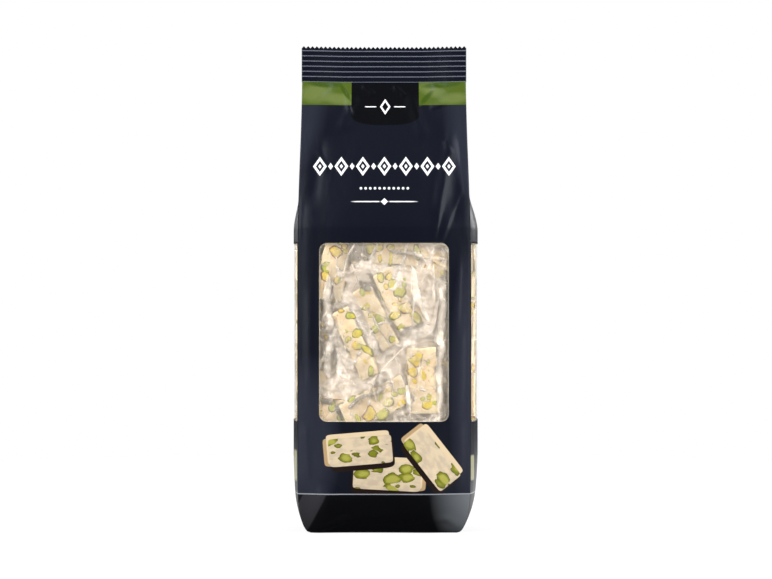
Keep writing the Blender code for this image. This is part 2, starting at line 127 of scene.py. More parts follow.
# Folds of the front panel: both ends (across, up), width on the steep and on the gentle side, and height.
# The first seven and the tenth lie where the solids' soft folds do, the eighth and ninth are broad pleats of
# the foot, and the rest are finer creases of the film.
frontFolds = [
    ((-36.5, 40), (-37.5, 205), 3.6, 3.6, 0.3), ((37, 30), (37.5, 150), 3.6, 3.6, 0.3),
    ((35.5, 206), (24, 150), 3.0, 3.0, 0.8), ((39, 196), (33, 148), 2.8, 2.8, -0.6),
    ((-31, 200), (-36, 158), 3.4, 3.4, -0.6), ((-14, 219), (-22, 196), 3.5, 3.5, 0.45),
    ((12, 220), (21, 192), 3.5, 3.5, 0.45), ((-38, -6), (-24.5, 26), 6.5, 8.0, 1.5),
    ((19, -6), (24, 34), 14.0, 8.0, 1.3), ((-20, 6), (28, 5), 3.0, 3.0, -0.5),
    ((32.5, 182), (24, 140), 0.8, 2.2, 0.4), ((38.5, 170), (27.5, 141), 0.8, 2.6, 0.5),
    ((35, 197), (39, 163), 1.0, 3.4, 0.45), ((29.5, 194), (34.5, 186), 0.7, 1.8, 0.2),
    ((41, 168), (41.5, 140), 0.8, 2.2, 0.3), ((-33, 190), (-27, 176), 0.8, 2.4, 0.22),
    ((-36.5, 203), (-31, 182), 0.9, 2.8, 0.3), ((-40.5, 168), (-41.5, 141), 0.8, 2.4, 0.3),
    ((-36, 128), (-36.5, 62), 1.4, 2.6, 0.2), ((37.5, 138), (35.8, 96), 1.0, 2.4, 0.25),
    ((39, 104), (38, 58), 1.2, 2.4, 0.2), ((-38.5, 56), (-37, 23), 1.4, 5.0, 0.5),
    ((38.5, 56), (37.5, 23), 1.4, 4.0, 0.4), ((-25, 222), (-35.5, 213), 0.7, 2.2, 0.4),
    ((-20.5, 221.5), (-15.5, 205), 0.6, 1.8, 0.35), ((-11, 222), (-4, 217), 0.6, 1.6, 0.3),
    ((4.5, 222), (11.5, 216), 0.6, 1.6, 0.3), ((23, 222), (37, 216), 0.7, 2.4, 0.45),
    ((33, 213), (22, 209), 0.7, 2.2, 0.28), ((-38, -1.5), (-15, 8), 2.6, 1.2, 0.7),
    ((-22, 6), (10, 8.5), 3.0, 1.4, 0.5), ((12, 3), (33, 7.5), 2.6, 1.2, 0.45),
    ((28, 8.5), (42, -0.5), 2.6, 1.2, 0.6),
]
backFolds = [
    ((-30, 40), (-34, 190), 2.8, 4.0, 0.45), ((31, 60), (35, 175), 2.6, 3.6, 0.45),
    ((12, 214), (24, 168), 1.0, 3.0, 0.45), ((-14, 216), (-27, 176), 1.0, 2.8, 0.4),
    ((-36, 198), (-30, 150), 0.9, 2.6, -0.45), ((37, 188), (31, 146), 0.9, 2.6, -0.4),
    ((-33, 2), (-24, 19), 0.8, 2.4, 0.5), ((33, 2), (25, 19), 0.8, 2.4, 0.5),
    ((-10, 120), (-24, 88), 1.2, 4.0, 0.3), ((9, 96), (27, 70), 1.2, 4.0, 0.3),
]
foldFade = 0.25  # share of its length over which a fold starts and ends


# Height of the folds at a place: each is exp(-(d/w)^2) across its line, with a width for either side of it,
# times a soft start and end along it. All fade out at the creases, by 1 - s^8.
def foldHeight(x, z, share, folds=frontFolds):
    height = 0.0
    for (startX, startZ), (endX, endZ), steep, gentle, peak in folds:
        alongX, alongZ = endX - startX, endZ - startZ
        length = math.hypot(alongX, alongZ)
        along = ((x - startX) * alongX + (z - startZ) * alongZ) / length**2
        across = ((x - startX) * alongZ - (z - startZ) * alongX) / length
        width = np.where(across < 0, steep, gentle)
        beyond = np.maximum(np.maximum(-along, along - 1), 0) * length
        fade = ease(along / foldFade) * ease((1 - along) / foldFade)
        height = height + peak * fade * np.exp(-(across**2 + beyond**2) / width**2)
    return height * (1 - share**8)


# How far the seal's ends come forward of its straight middle, from nothing at the shoulder up to the seal.
def sealBow(x, z):
    form = bagForm
    beyond = (np.abs(x) - form["sealStraightHalf"]) / (form["sealHalfWidth"] - form["sealStraightHalf"])
    up = (z - form["sealBowStart"]) / (form["sealFoot"] - form["sealBowStart"])
    return -form["sealBow"] * ease(beyond) * ease(up)


# Wavy noise: the sum of plane waves in drawn directions over the root of twice their number, mostly between
# -1 and 1, with its own wavelength and seed.
def ripple(x, y, z, wavelength, seed, waves=9):
    chance = np.random.default_rng(seed)
    ways = chance.normal(size=(waves, 3))
    uneven = chance.uniform(0.7, 1.6, waves) / np.linalg.norm(ways, axis=1)
    ways *= uneven[:, None] * 2 * math.pi / wavelength
    total = np.zeros(np.broadcast(x, y, z).shape)
    for way, phase in zip(ways, chance.uniform(0, 2 * math.pi, waves)):
        total += np.sin(way[0] * x + way[1] * y + way[2] * z + phase)
    return total / math.sqrt(waves * 2)


# How far a panel stands out, across and up: its bulge is 1 - |s|^p of the way from crease to crease.
def panelOut(x, z, fullBulge):
    halfWidth, halfDepth, bulge, _ = bagSection(z)
    share = np.clip(x / halfWidth, -1, 1)
    domed = 1 - np.abs(share) ** bagForm["panelPower"]
    return halfDepth + bagForm["lip"] + fullBulge * bulge * domed, share


def frontY(x, z, inset=0.0):  # the front film with its folds; inset draws it back into the bag
    out, share = panelOut(x, z, bagForm["frontBulge"])
    return -(out + foldHeight(x, z, share)) + inset + sealBow(x, z)


def backY(x, z, inset=0.0):
    return panelOut(x, z, bagForm["backBulge"])[0] - inset + sealBow(x, z)


# How far a side stands out at share t from its front crease (-1) to its back crease (1): a swell of 1 - t^2
# while the bag is full, and a straight fold to the middle where it closes, mixed by how far it has folded in.
def sideX(side, t, z, inset=0.0):
    form = bagForm
    halfWidth, halfDepth, bulge, foldedIn = bagSection(z)
    swell = form["swellLeft" if side < 0 else "swellRight"] * bulge * (1 - t * t)
    gussetHalf = form["halfDepth"] + form["gussetSlack"]
    folded = -np.sqrt(np.maximum(gussetHalf**2 - halfDepth**2, 0)) * (1 - np.abs(t))
    return side * (halfWidth - inset + swell * (1 - foldedIn) + folded * foldedIn)


def sideShare(y, z):  # from -1 at the front crease to 1 at the back one
    return np.clip(y / (bagSection(z)[1] + bagForm["lip"]), -1, 1)


# Quads of a grid numbered row by row. loop joins the last column to the first, and count repeats the grid.
def gridQuads(rows, columns, loop=False, count=1):
    row = np.arange(rows - 1)[:, None]
    column = np.arange(columns if loop else columns - 1)[None, :]
    low = row * columns + column
    lowNext = row * columns + (column + 1) % columns
    one = np.stack([low, lowNext, lowNext + columns, low + columns], axis=-1).reshape(-1, 4)
    return (one[None] + (np.arange(count) * rows * columns)[:, None, None]).reshape(-1, 4)


# One object from points in mm and quads. values are named numbers for each point, which a material may read.
# weld merges points that coincide, so a row drawn together to one point becomes a closed pole.
def addPiece(name, points, quads, look, node, values=None, weld=False):
    material, slot = look
    points = points.reshape(-1, 3) + (axisX, 0, 0)
    mesh = bpy.data.meshes.new(name)
    mesh.vertices.add(len(points))
    mesh.vertices.foreach_set("co", (points * mm).astype(np.float32).ravel())
    mesh.loops.add(quads.size)
    mesh.loops.foreach_set("vertex_index", quads.astype(np.int32).ravel())
    mesh.polygons.add(len(quads))
    mesh.polygons.foreach_set("loop_start", np.arange(0, quads.size, 4, dtype=np.int32))
    for label, numbers in (values or {}).items():
        layer = mesh.attributes.new(label, "FLOAT", "POINT")
        layer.data.foreach_set("value", np.asarray(numbers, np.float32).ravel())
    mesh.update(calc_edges=True)
    if weld:
        made = bmesh.new()
        made.from_mesh(mesh)
        bmesh.ops.remove_doubles(made, verts=made.verts, dist=0.004 * mm)
        made.to_mesh(mesh)
        made.free()
    mesh.validate()
    mesh.shade_smooth()
    mesh.materials.append(material)
    piece = bpy.data.objects.new(name, mesh)
    bpy.context.scene.collection.objects.link(piece)
    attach(piece, "root")
    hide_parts(node)
    return piece


def addGrids(name, points, look, node, loop=False, **more):  # the same for one or many whole grids of points
    points = np.array(points)
    rows, columns = points.shape[-3:-1]
    quads = gridQuads(rows, columns, loop, points.size // (rows * columns * 3))
    return addPiece(name, points, quads, look, node, **more)


def thicken(piece, thickness):  # a wall inwards from the surface, in mm
    wall = piece.modifiers.new("wall", "SOLIDIFY")
    wall.thickness = thickness * mm
    wall.offset = -1


# Distance from a rounded rectangle's outline, below zero inside, and the direction away from it.
def roundedDistance(x, z, window):
    (middleX, middleZ), (halfX, halfZ), corner = window
    qx, qz = np.abs(x - middleX) - halfX + corner, np.abs(z - middleZ) - halfZ + corner
    outX, outZ = np.maximum(qx, 0), np.maximum(qz, 0)
    outside = np.hypot(outX, outZ)
    distance = outside + np.minimum(np.maximum(qx, qz), 0) - corner
    wayX = np.where(outside > 1e-9, outX / np.maximum(outside, 1e-9), qx > qz)
    wayZ = np.where(outside > 1e-9, outZ / np.maximum(outside, 1e-9), qx <= qz)
    return distance, wayX * np.sign(x - middleX), wayZ * np.sign(z - middleZ)


# Takes the quads whose middle lies inside the window out of a grid, and moves the points left on the border
# on to the window's outline, so that the hole has its form.
def openWindow(x, z, window):
    quads = gridQuads(*x.shape)
    flatX, flatZ = x.ravel().copy(), z.ravel().copy()
    outside = roundedDistance(flatX[quads].mean(1), flatZ[quads].mean(1), window)[0] > 0
    border = np.intersect1d(quads[outside], quads[~outside])
    distance, wayX, wayZ = roundedDistance(flatX[border], flatZ[border], window)
    flatX[border] -= wayX * distance
    flatZ[border] -= wayZ * distance
    return flatX.reshape(x.shape), flatZ.reshape(x.shape), quads[outside]


# Shader helpers. Each returns the output that is used most.
def addNode(tree, kind, inputs=None, **settings):  # an input is another node's output, or a plain value
    made = tree.nodes.new(kind)
    for key, value in settings.items():
        setattr(made, key, value)
    for key, value in (inputs or {}).items():
        feed(tree, made.inputs[key], value)
    return made


def feed(tree, socket, value):
    if isinstance(value, bpy.types.NodeSocket):
        tree.links.new(value, socket)
    else:
        socket.default_value = value


def calc(tree, operation, first, second=0.0, third=0.0, clamp=False):
    return addNode(tree, "ShaderNodeMath", {0: first, 1: second, 2: third}, operation=operation,
                   use_clamp=clamp).outputs[0]


def vector(tree, operation, first, second, third=(0, 0, 0)):
    made = addNode(tree, "ShaderNodeVectorMath", {0: first, 1: second, 2: third}, operation=operation)
    return made.outputs["Value" if operation == "DOT_PRODUCT" else "Vector"]


def mixColour(tree, mask, under, over):
    return addNode(tree, "ShaderNodeMix", {0: mask, 6: under, 7: over}, data_type="RGBA").outputs[2]


def remap(tree, value, low, high, outLow=0.0, outHigh=1.0):
    return addNode(tree, "ShaderNodeMapRange", {0: value, 1: low, 2: high, 3: outLow, 4: outHigh},
                   interpolation_type="SMOOTHSTEP").outputs[0]


def noiseAt(tree, place, scale, detail, **more):
    given = {"Vector": place, "Scale": scale, "Detail": detail, **more}
    return addNode(tree, "ShaderNodeTexNoise", given).outputs


def cellsAt(tree, place, scale, randomness):  # the cells, and each cell's own drawn numbers
    cells = addNode(tree, "ShaderNodeTexVoronoi", {"Vector": place, "Scale": scale, "Randomness": randomness})
    shades = addNode(tree, "ShaderNodeSeparateColor", {0: cells.outputs["Color"]})
    return cells.outputs, shades.outputs


def meshValue(tree, name):  # a number that the mesh carries for each point
    return addNode(tree, "ShaderNodeAttribute", attribute_name=name).outputs["Fac"]


def bumpFrom(tree, shader, height, strength):
    given = {"Height": height, "Strength": strength, "Distance": mm}
    bump = addNode(tree, "ShaderNodeBump", given).outputs[0]
    tree.links.new(bump, shader.inputs["Normal"])
    return bump


def seenByCamera(tree):
    return addNode(tree, "ShaderNodeLightPath").outputs["Is Camera Ray"]


def placeInMm(tree):  # the object's own coordinates, in mm
    place = addNode(tree, "ShaderNodeTexCoord").outputs["Object"]
    return addNode(tree, "ShaderNodeVectorMath", {0: place, "Scale": 1 / mm}, operation="SCALE").outputs[0]


def newGroup(name, numbers, outputs):  # a group with a Place, the named numbers and the named outputs
    group = bpy.data.node_groups.new(name, "ShaderNodeTree")
    group.interface.new_socket("Place", in_out="INPUT", socket_type="NodeSocketVector")
    for label, value in numbers.items():
        group.interface.new_socket(label, in_out="INPUT", socket_type="NodeSocketFloat").default_value = value
    for label, kind in outputs.items():
        group.interface.new_socket(label, in_out="OUTPUT", socket_type="NodeSocket" + kind)
    return group, group.nodes.new("NodeGroupInput").outputs, group.nodes.new("NodeGroupOutput").inputs


def useGroup(tree, group, **inputs):
    return addNode(tree, "ShaderNodeGroup", inputs, node_tree=group).outputs


def newMaterial(name, **plain):  # plain values go on the shader's own sockets, with _ for a space
    material = bpy.data.materials.new(name)
    material.use_nodes = True
    shader = material.node_tree.nodes["Principled BSDF"]
    for key, value in plain.items():
        shader.inputs[key.replace("_", " ")].default_value = value
    return material, material.node_tree, shader


# One printed shape: 1 where (|u|/a)^p + (|v|/b)^p is under 1, in coordinates turned about its centre.
# Power 1 is a lozenge, 2 an ellipse, and a high power a box.
def makePrintShape():
    numbers = {"CentreX": 0.0, "CentreZ": 0.0, "HalfWidth": 1.0, "HalfHeight": 1.0, "Turn": 0.0, "Power": 2.0,
               "Soft": 0.1}
    tree, given, out = newGroup("printShape", numbers, {"Mask": "Float"})
    parts = addNode(tree, "ShaderNodeSeparateXYZ", {0: given["Place"]}).outputs
    across = calc(tree, "SUBTRACT", parts[0], given["CentreX"])
    up = calc(tree, "SUBTRACT", parts[2], given["CentreZ"])
    cosine, sine = calc(tree, "COSINE", given["Turn"]), calc(tree, "SINE", given["Turn"])
    u = calc(tree, "ADD", calc(tree, "MULTIPLY", across, cosine), calc(tree, "MULTIPLY", up, sine))
    v = calc(tree, "SUBTRACT", calc(tree, "MULTIPLY", up, cosine), calc(tree, "MULTIPLY", across, sine))
    shares = [calc(tree, "DIVIDE", calc(tree, "ABSOLUTE", way), given[half])
              for way, half in ((u, "HalfWidth"), (v, "HalfHeight"))]
    powers = [calc(tree, "POWER", share, given["Power"]) for share in shares]
    least = calc(tree, "MINIMUM", given["HalfWidth"], given["HalfHeight"])
    slope = calc(tree, "DIVIDE", least, calc(tree, "MULTIPLY", given["Power"], given["Soft"]))
    within = calc(tree, "SUBTRACT", 1.0, calc(tree, "ADD", *powers))
    tree.links.new(calc(tree, "MULTIPLY_ADD", within, slope, 0.5, clamp=True), out["Mask"])
    return tree


# Crinkles of thin film. Height is noise drawn out along Z. Facets is the height of a crushed film: cells of a
# Voronoi pattern, each a flat facet leaning its own way, (place - cell's own place) . (cell's colour - 0.5).
# Glint is 1 on a few facets drawn at random, fading towards their borders: a painted glint, whatever the
# light.
def makeFilmCrinkle():
    tree, given, out = newGroup("filmCrinkle", {"Size": 6.0, "Stretch": 0.35, "Glints": 0.2},
                                {"Height": "Float", "Facets": "Float", "Glint": "Float"})
    drawn = addNode(tree, "ShaderNodeCombineXYZ", {0: 1.0, 1: 1.0, 2: given["Stretch"]}).outputs[0]
    stretched = vector(tree, "MULTIPLY", given["Place"], drawn)
    scale = calc(tree, "DIVIDE", 1.0, given["Size"])
    slow = noiseAt(tree, stretched, scale, 3.0, Roughness=0.45, Distortion=0.6)
    wander = vector(tree, "MULTIPLY_ADD", slow["Color"], (7.0, 7.0, 7.0), stretched)
    cells, shades = cellsAt(tree, wander, scale, 1.0)
    lean = vector(tree, "SUBTRACT", cells["Color"], (0.5, 0.5, 0.5))
    facets = vector(tree, "DOT_PRODUCT", vector(tree, "SUBTRACT", wander, cells["Position"]), lean)
    chosen = calc(tree, "GREATER_THAN", given["Glints"], shades[1])
    soft = remap(tree, cells["Distance"], 0.15, 0.5, 1.0, 0.0)
    tree.links.new(slow["Fac"], out["Height"])
    tree.links.new(facets, out["Facets"])
    tree.links.new(calc(tree, "MULTIPLY", chosen, soft), out["Glint"])
    return tree


nougatPrint = {"face": colour(180, 164, 142), "pale": colour(196, 179, 150), "nut": colour(110, 112, 30),
               "nutPale": colour(152, 150, 68), "nutSkin": colour(46, 54, 12), "cell": 0.13, "stretch": 1.7,
               "wander": 4.0, "nutSize": (0.2, 0.6), "skin": 0.12, "sharp": 0.03}


# The printed bars' cut face: long nuts with a dark skin, in cells of a Voronoi pattern lying along the bar.
# A cell's own shade says how large its nut is.
def makePrintedNougat():
    look = nougatPrint
    numbers = {"CentreX": 0.0, "CentreZ": 0.0, "Turn": 0.0}
    tree, given, out = newGroup("printedNougat", numbers, {"Colour": "Color"})
    centre = addNode(tree, "ShaderNodeCombineXYZ", {0: given["CentreX"], 2: given["CentreZ"]}).outputs[0]
    about = {"Vector": given["Place"], "Center": centre, "Angle": given["Turn"]}
    turned = addNode(tree, "ShaderNodeVectorRotate", about, rotation_type="Y_AXIS").outputs[0]
    drawn = vector(tree, "MULTIPLY", turned, (1.0, 0.0, look["stretch"]))
    noise = noiseAt(tree, drawn, 0.2, 2.0)
    moved = vector(tree, "MULTIPLY_ADD", noise["Color"], (look["wander"],) * 3, drawn)
    cells, shades = cellsAt(tree, moved, look["cell"], 0.9)
    edge = calc(tree, "SUBTRACT", remap(tree, shades[0], 0.2, 0.9, *look["nutSize"]), cells["Distance"])
    nut = calc(tree, "DIVIDE", edge, look["sharp"], clamp=True)
    skin = calc(tree, "SUBTRACT", 1.0, calc(tree, "DIVIDE", edge, look["skin"], clamp=True))
    face = mixColour(tree, remap(tree, noise["Fac"], 0.38, 0.62), look["face"], look["pale"])
    inside = mixColour(tree, remap(tree, edge, look["skin"], 0.34), look["nut"], look["nutPale"])
    inside = mixColour(tree, calc(tree, "POWER", skin, 1.2), inside, look["nutSkin"])
    tree.links.new(mixColour(tree, nut, face, inside), out["Colour"])
    return tree


print("materials")
printShape = makePrintShape()
filmCrinkle = makeFilmCrinkle()
printedNougat = makePrintedNougat()

# The print, with light painted over it: fields of colour and simple shapes, laid over each other in order.
# Each field is its paint, the middle across and up, half its width and height in mm, its turn in degrees,
# its power (1 a lozenge, 2 an ellipse, high for a box) and how soft its edge is. The sheens are painted
# highlights: the film's slow gloss, painted in as lighter colour. Those of the foot stop at its line.
printAndPaintedLightColours = {
    # Besides print: a painted highlight of the film's gloss on the navy, painted highlight and painted shade
    # on the green band's folds, a painted highlight on the seal's ribs, and painted reflections on the foot.
    "navy": colour(11, 14, 23), "navyPaintedSheen": colour(32, 35, 45), "black": colour(2, 2, 3),
    "green": colour(66, 82, 22), "greenPaintedHighlight": colour(88, 101, 50), "greenPaintedShade": colour(50, 70, 10),
    "white": colour(226, 226, 230), "line": colour(130, 132, 138), "rib": colour(92, 95, 107),
    "creamLit": colour(200, 180, 148), "creamEnd": colour(164, 138, 102), "shadow": colour(26, 16, 12),
    "strip": colour(138, 136, 108), "footRightPaintedSheen": colour(100, 104, 108), "footLeftPaintedSheen": colour(38, 37, 40),
}
sharp = 0.12
fine = 0.05
# Painted highlights: the navy film's soft gloss at its shoulders and along its lower edges, painted as
# lighter navy.
panelPaintedSheens = [
    ("navyPaintedSheen", -44, 208, 13, 26, -6, 2, 8), ("navyPaintedSheen", 44, 204, 12, 22, 6, 2, 8),
    ("navyPaintedSheen", 42, 184, 6, 16, 4, 2, 4), ("navyPaintedSheen", -37, 46, 13, 34, 0, 2, 8),
    ("navyPaintedSheen", 42, 72, 8, 54, 0, 2, 6),
]
# The printed green band, with painted highlights and painted shade where its puckered folds under the seal
# catch or miss the light.
greenBandAndPaintedFolds = [
    ("green", 0, 217.6, 70, 6.15, 0, 60, sharp),
    ("greenPaintedHighlight", -34, 217.2, 7.5, 4.4, 4, 2, 2.6), ("greenPaintedHighlight", -22, 214.6, 8.5, 2.6, -6, 2, 1.8),
    ("greenPaintedShade", -29.5, 222.2, 8.0, 1.7, -3, 2, 0.9), ("greenPaintedShade", -19.4, 218.2, 5.2, 1.1, -58, 2, 0.7),
    ("greenPaintedHighlight", 24, 219, 6.5, 3.0, -18, 2, 2.2), ("greenPaintedHighlight", 35, 214.8, 7.0, 2.6, 5, 2, 1.8),
    ("greenPaintedShade", 29, 221.8, 9.0, 1.6, 4, 2, 0.9), ("greenPaintedShade", 21, 215, 4.6, 1.3, 48, 2, 0.9),
]
blackTab = [("black", 0.6, 217, 16.8, 11.2, 0, 40, sharp), ("black", 0.6, 207, 16.9, 5.8, 0, 2.6, sharp)]
footTop = 19.3
foot = [("black", 0, 0, 70, 19.5, 0, 60, sharp)]
# Painted reflections on the black foot: a grey sheen that grows to the right, and a lighter patch at the
# left.
footPaintedSheens = [("footRightPaintedSheen", 59.3, 19, 27.8, 30, 0, 2, 22), ("footLeftPaintedSheen", -37.4, 12.5, 5.2, 13, -28, 5, 0.7)]
# A printed rule at the foot's line, and a painted highlight along the seal's foot.
ruleAndSealFootHighlight = [("line", 0, 19.5, 70, 0.27, 0, 6, fine), ("rib", 0, 223.3, 70, 0.12, 0, 6, 0.03)]
sideStrips = [("strip", -43.7, 33, 0.9, 7.6, 0, 8, sharp), ("strip", 43.6, 32, 0.9, 6.2, 0, 8, sharp)]

# The ornaments: a row of open lozenges with small ones between them, a row of dots, a rule with a lozenge,
# and an open lozenge between two short rules on the tab.
ornamentForm = {"middle": 0.2, "lozengesUp": 180.4, "lozenges": 7, "pitch": 10.6, "half": (3.4, 4.8),
                "open": 0.6, "core": 0.24, "small": (1.2, 1.7), "dotsUp": 169.4, "dots": 11, "dotPitch": 2.3,
                "dot": 0.62, "ruleUp": 162.8, "tabMiddle": 0.6, "tabUp": 210.6, "tabRule": 7.2}


def makeOrnaments():
    form = ornamentForm
    (halfWidth, halfHeight), fields = form["half"], []
    for k in range(form["lozenges"]):
        x, up = form["middle"] + (k - (form["lozenges"] - 1) / 2) * form["pitch"], form["lozengesUp"]
        for paint, size in (("white", 1), ("navy", form["open"]), ("white", form["core"])):
            fields.append((paint, x, up, halfWidth * size, halfHeight * size, 0, 1, sharp))
        if k < form["lozenges"] - 1:
            fields.append(("white", x + form["pitch"] / 2, up, *form["small"], 0, 1, sharp))
    for k in range(form["dots"]):
        x = form["middle"] + (k - (form["dots"] - 1) / 2) * form["dotPitch"]
        fields.append(("white", x, form["dotsUp"], form["dot"], form["dot"], 0, 2, sharp))
    x, up, tabX, tabUp = form["middle"], form["ruleUp"], form["tabMiddle"], form["tabUp"]
    fields += [("white", x, up, 15.5, 0.27, 0, 6, fine), ("navy", x, up, 2.6, 1.0, 0, 30, sharp),
               ("white", x, up, 1.7, 1.7, 0, 1, sharp), ("white", tabX, tabUp, 2.6, 4.0, 0, 1, sharp),
               ("black", tabX, tabUp, 1.6, 2.5, 0, 1, sharp)]
    for ruleX in (tabX - form["tabRule"], tabX + form["tabRule"]):
        fields.append(("white", ruleX, tabUp, 2.8, 0.25, 0, 6, fine))
    return fields


# Three printed bars: the cut face's middle, half its length and height, its turn, and the side its end is on.
printedBars = [
    ((1.5, 28.6), (16.5, 7.6), -3, 1),
    ((-11.5, 40.8), (15.5, 7.4), 5, -1),
    ((23.5, 36.5), (15.0, 7.2), -52, -1),
]


# A printed bar in four fields, each moved along and up from the cut face: shadow, end, lit top and face.
def makePrintedBars():
    fields = []
    for centre, (halfLength, halfHeight), turn, end in printedBars:
        cosine, sine = math.cos(math.radians(turn)), math.sin(math.radians(turn))
        for paint, along, up, longer, higher, power in (
                ("shadow", -0.6 * end, -1.6, 1.02, 1.06, 8), ("creamEnd", 2.6 * end, 0.5, 1.0, 0.94, 12),
                ("creamLit", 0.9 * end, 1.7, 1.0, 1.0, 14), ("cutFace", 0, 0, 1.0, 0.93, 14)):
            x, z = centre[0] + cosine * along - sine * up, centre[1] + sine * along + cosine * up
            fields.append((paint, x, z, halfLength * longer, halfHeight * higher, turn, power, sharp))
    return fields


# A printed film, from its fields. A cut face has its own colours, with nuts in them.
def makePrintedFilm(name, fields, crestHighlight=None):
    material, tree, shader = newMaterial(name, Roughness=0.36, Specular_IOR_Level=0.13, Coat_Weight=0.06,
                                         Coat_Roughness=0.14, Specular_Tint=(0.78, 0.83, 1.0, 1))
    place = placeInMm(tree)
    centred = vector(tree, "ADD", place, (-axisX, 0, 0))
    upward = addNode(tree, "ShaderNodeSeparateXYZ", {0: place}).outputs[2]
    shown = printAndPaintedLightColours["navy"]
    for paint, x, up, halfWidth, halfHeight, turn, power, soft in fields:
        where = {"Place": centred, "CentreX": x, "CentreZ": up, "Turn": math.radians(turn)}
        mask = useGroup(tree, printShape, **where, HalfWidth=halfWidth, HalfHeight=halfHeight, Power=power,
                        Soft=soft)["Mask"]
        # the painted reflections of the foot stop at its line
        if paint in ("footRightPaintedSheen", "footLeftPaintedSheen"):
            mask = calc(tree, "MULTIPLY", mask, calc(tree, "LESS_THAN", upward, footTop))
        over = useGroup(tree, printedNougat, **where)["Colour"] if paint == "cutFace" else printAndPaintedLightColours[paint]
        shown = mixColour(tree, mask, shown, over)
    if crestHighlight:  # a painted highlight on the seal's rib crests, where they face the light
        shown = mixColour(tree, remap(tree, meshValue(tree, "crest"), 0.3, 0.7), shown, crestHighlight)
    feed(tree, shader.inputs["Base Color"], shown)
    bumpFrom(tree, shader, useGroup(tree, filmCrinkle, Place=place, Size=9.0, Stretch=0.3)["Height"], 0.3)
    return material, "printed_film"


clearLooks = {
    "clear_pane": {"tint": colour(252, 242, 222), "roughness": 0.08, "ior": 1.5, "coat": 0.5, "haze": 0.02,
                   "gloss": 0.12, "pressed": 0.32, "bump": 0.2, "size": 16.0, "facets": 0.1, "glints": 0.0,
                   "paintedGlintShare": 0.0},
    "clear_wrapper": {"tint": colour(255, 240, 221), "roughness": 0.16, "ior": 1.7, "coat": 0.8, "haze": 0.05,
                      "gloss": 0.5, "pressed": 0.32, "bump": 0.8, "size": 7.0, "facets": 0.8, "glints": 0.25,
                      "paintedGlintShare": 0.45},
}


# Clear film: mostly see-through, whiter on a few facets drawn at random, which are painted glints, and where
# the mesh says that it is doubled or pressed together, and with a gloss that grows towards the edges, as 1 -
# cosine to a power.
def makeClearFilm(name):
    look = clearLooks[name]
    material, tree, shader = newMaterial(name, Base_Color=look["tint"], Roughness=look["roughness"],
                                         IOR=look["ior"], Coat_Weight=look["coat"], Coat_Roughness=0.06)
    crinkle = useGroup(tree, filmCrinkle, Place=placeInMm(tree), Size=look["size"], Stretch=0.6,
                       Glints=look["glints"])
    height = calc(tree, "MULTIPLY_ADD", crinkle["Facets"], look["facets"], crinkle["Height"])
    bump = bumpFrom(tree, shader, height, look["bump"])
    facing = addNode(tree, "ShaderNodeLayerWeight", {"Blend": 0.5, "Normal": bump}).outputs["Facing"]
    pressed = meshValue(tree, "pressed")
    share = calc(tree, "MULTIPLY_ADD", calc(tree, "POWER", facing, 3.0), look["gloss"], look["haze"])
    # painted glints: random facets made whiter, more so where the film is pressed
    glint = calc(tree, "MULTIPLY", crinkle["Glint"], calc(tree, "MULTIPLY_ADD", pressed, 0.9, 0.1))
    share = calc(tree, "MULTIPLY_ADD", glint, look["paintedGlintShare"], share)
    share = calc(tree, "MULTIPLY_ADD", pressed, look["pressed"], share, clamp=True)
    clear = addNode(tree, "ShaderNodeBsdfTransparent").outputs[0]
    mixed = addNode(tree, "ShaderNodeMixShader", {0: share, 1: clear, 2: shader.outputs[0]})
    tree.links.new(mixed.outputs[0], tree.nodes["Material Output"].inputs["Surface"])
    return material, "clear_film"


# The edge colour is a painted highlight along the bars' arrises.
nougatColours = {"cream": colour(231, 211, 175), "warm": colour(223, 192, 147), "edge": colour(246, 229, 191),
              "crumb": colour(176, 166, 92), "skinCrumb": colour(150, 104, 72), "crumbSize": 0.2,
              "crumbEdge": 0.03}


# Nougat: cream, softly mottled, paler along the bar's own edges as a painted highlight, with crumbs of nut in
# the cells of a Voronoi pattern, filled near their middles, and a fine grain.
def makeNougat():
    look = nougatColours
    material, tree, shader = newMaterial("nougat", Roughness=0.5, Specular_IOR_Level=0.4,
                                         Subsurface_Weight=0.25, Subsurface_Radius=(1.0, 0.8, 0.55),
                                         Subsurface_Scale=2.5 * mm)
    place = placeInMm(tree)
    mottle = noiseAt(tree, place, 0.22, 4.0)["Fac"]
    cream = mixColour(tree, remap(tree, mottle, 0.35, 0.7), look["cream"], look["warm"])
    # painted highlight: paler along the bar's arrises
    cream = mixColour(tree, meshValue(tree, "edge"), cream, look["edge"])
    moved = vector(tree, "MULTIPLY_ADD", noiseAt(tree, place, 0.35, 1.0)["Color"], (1.6, 1.6, 1.6), place)
    cells, shades = cellsAt(tree, moved, 0.4, 0.85)
    inCrumb = calc(tree, "SUBTRACT", look["crumbSize"], cells["Distance"])
    inCrumb = calc(tree, "DIVIDE", inCrumb, look["crumbEdge"], clamp=True)
    crumb = mixColour(tree, remap(tree, shades[0], 0.75, 0.8), look["crumb"], look["skinCrumb"])
    shown = mixColour(tree, calc(tree, "MULTIPLY", inCrumb, 0.55), cream, crumb)
    tree.links.new(shown, shader.inputs["Base Color"])
    bumpFrom(tree, shader, noiseAt(tree, place, 1.8, 3.0)["Fac"], 0.25)
    return material, "nougat"


nutColours = {"yellow": colour(224, 192, 62), "green": colour(174, 178, 40), "edge": colour(104, 104, 18),
           "skin": colour(116, 60, 36), "pale": colour(226, 206, 112)}


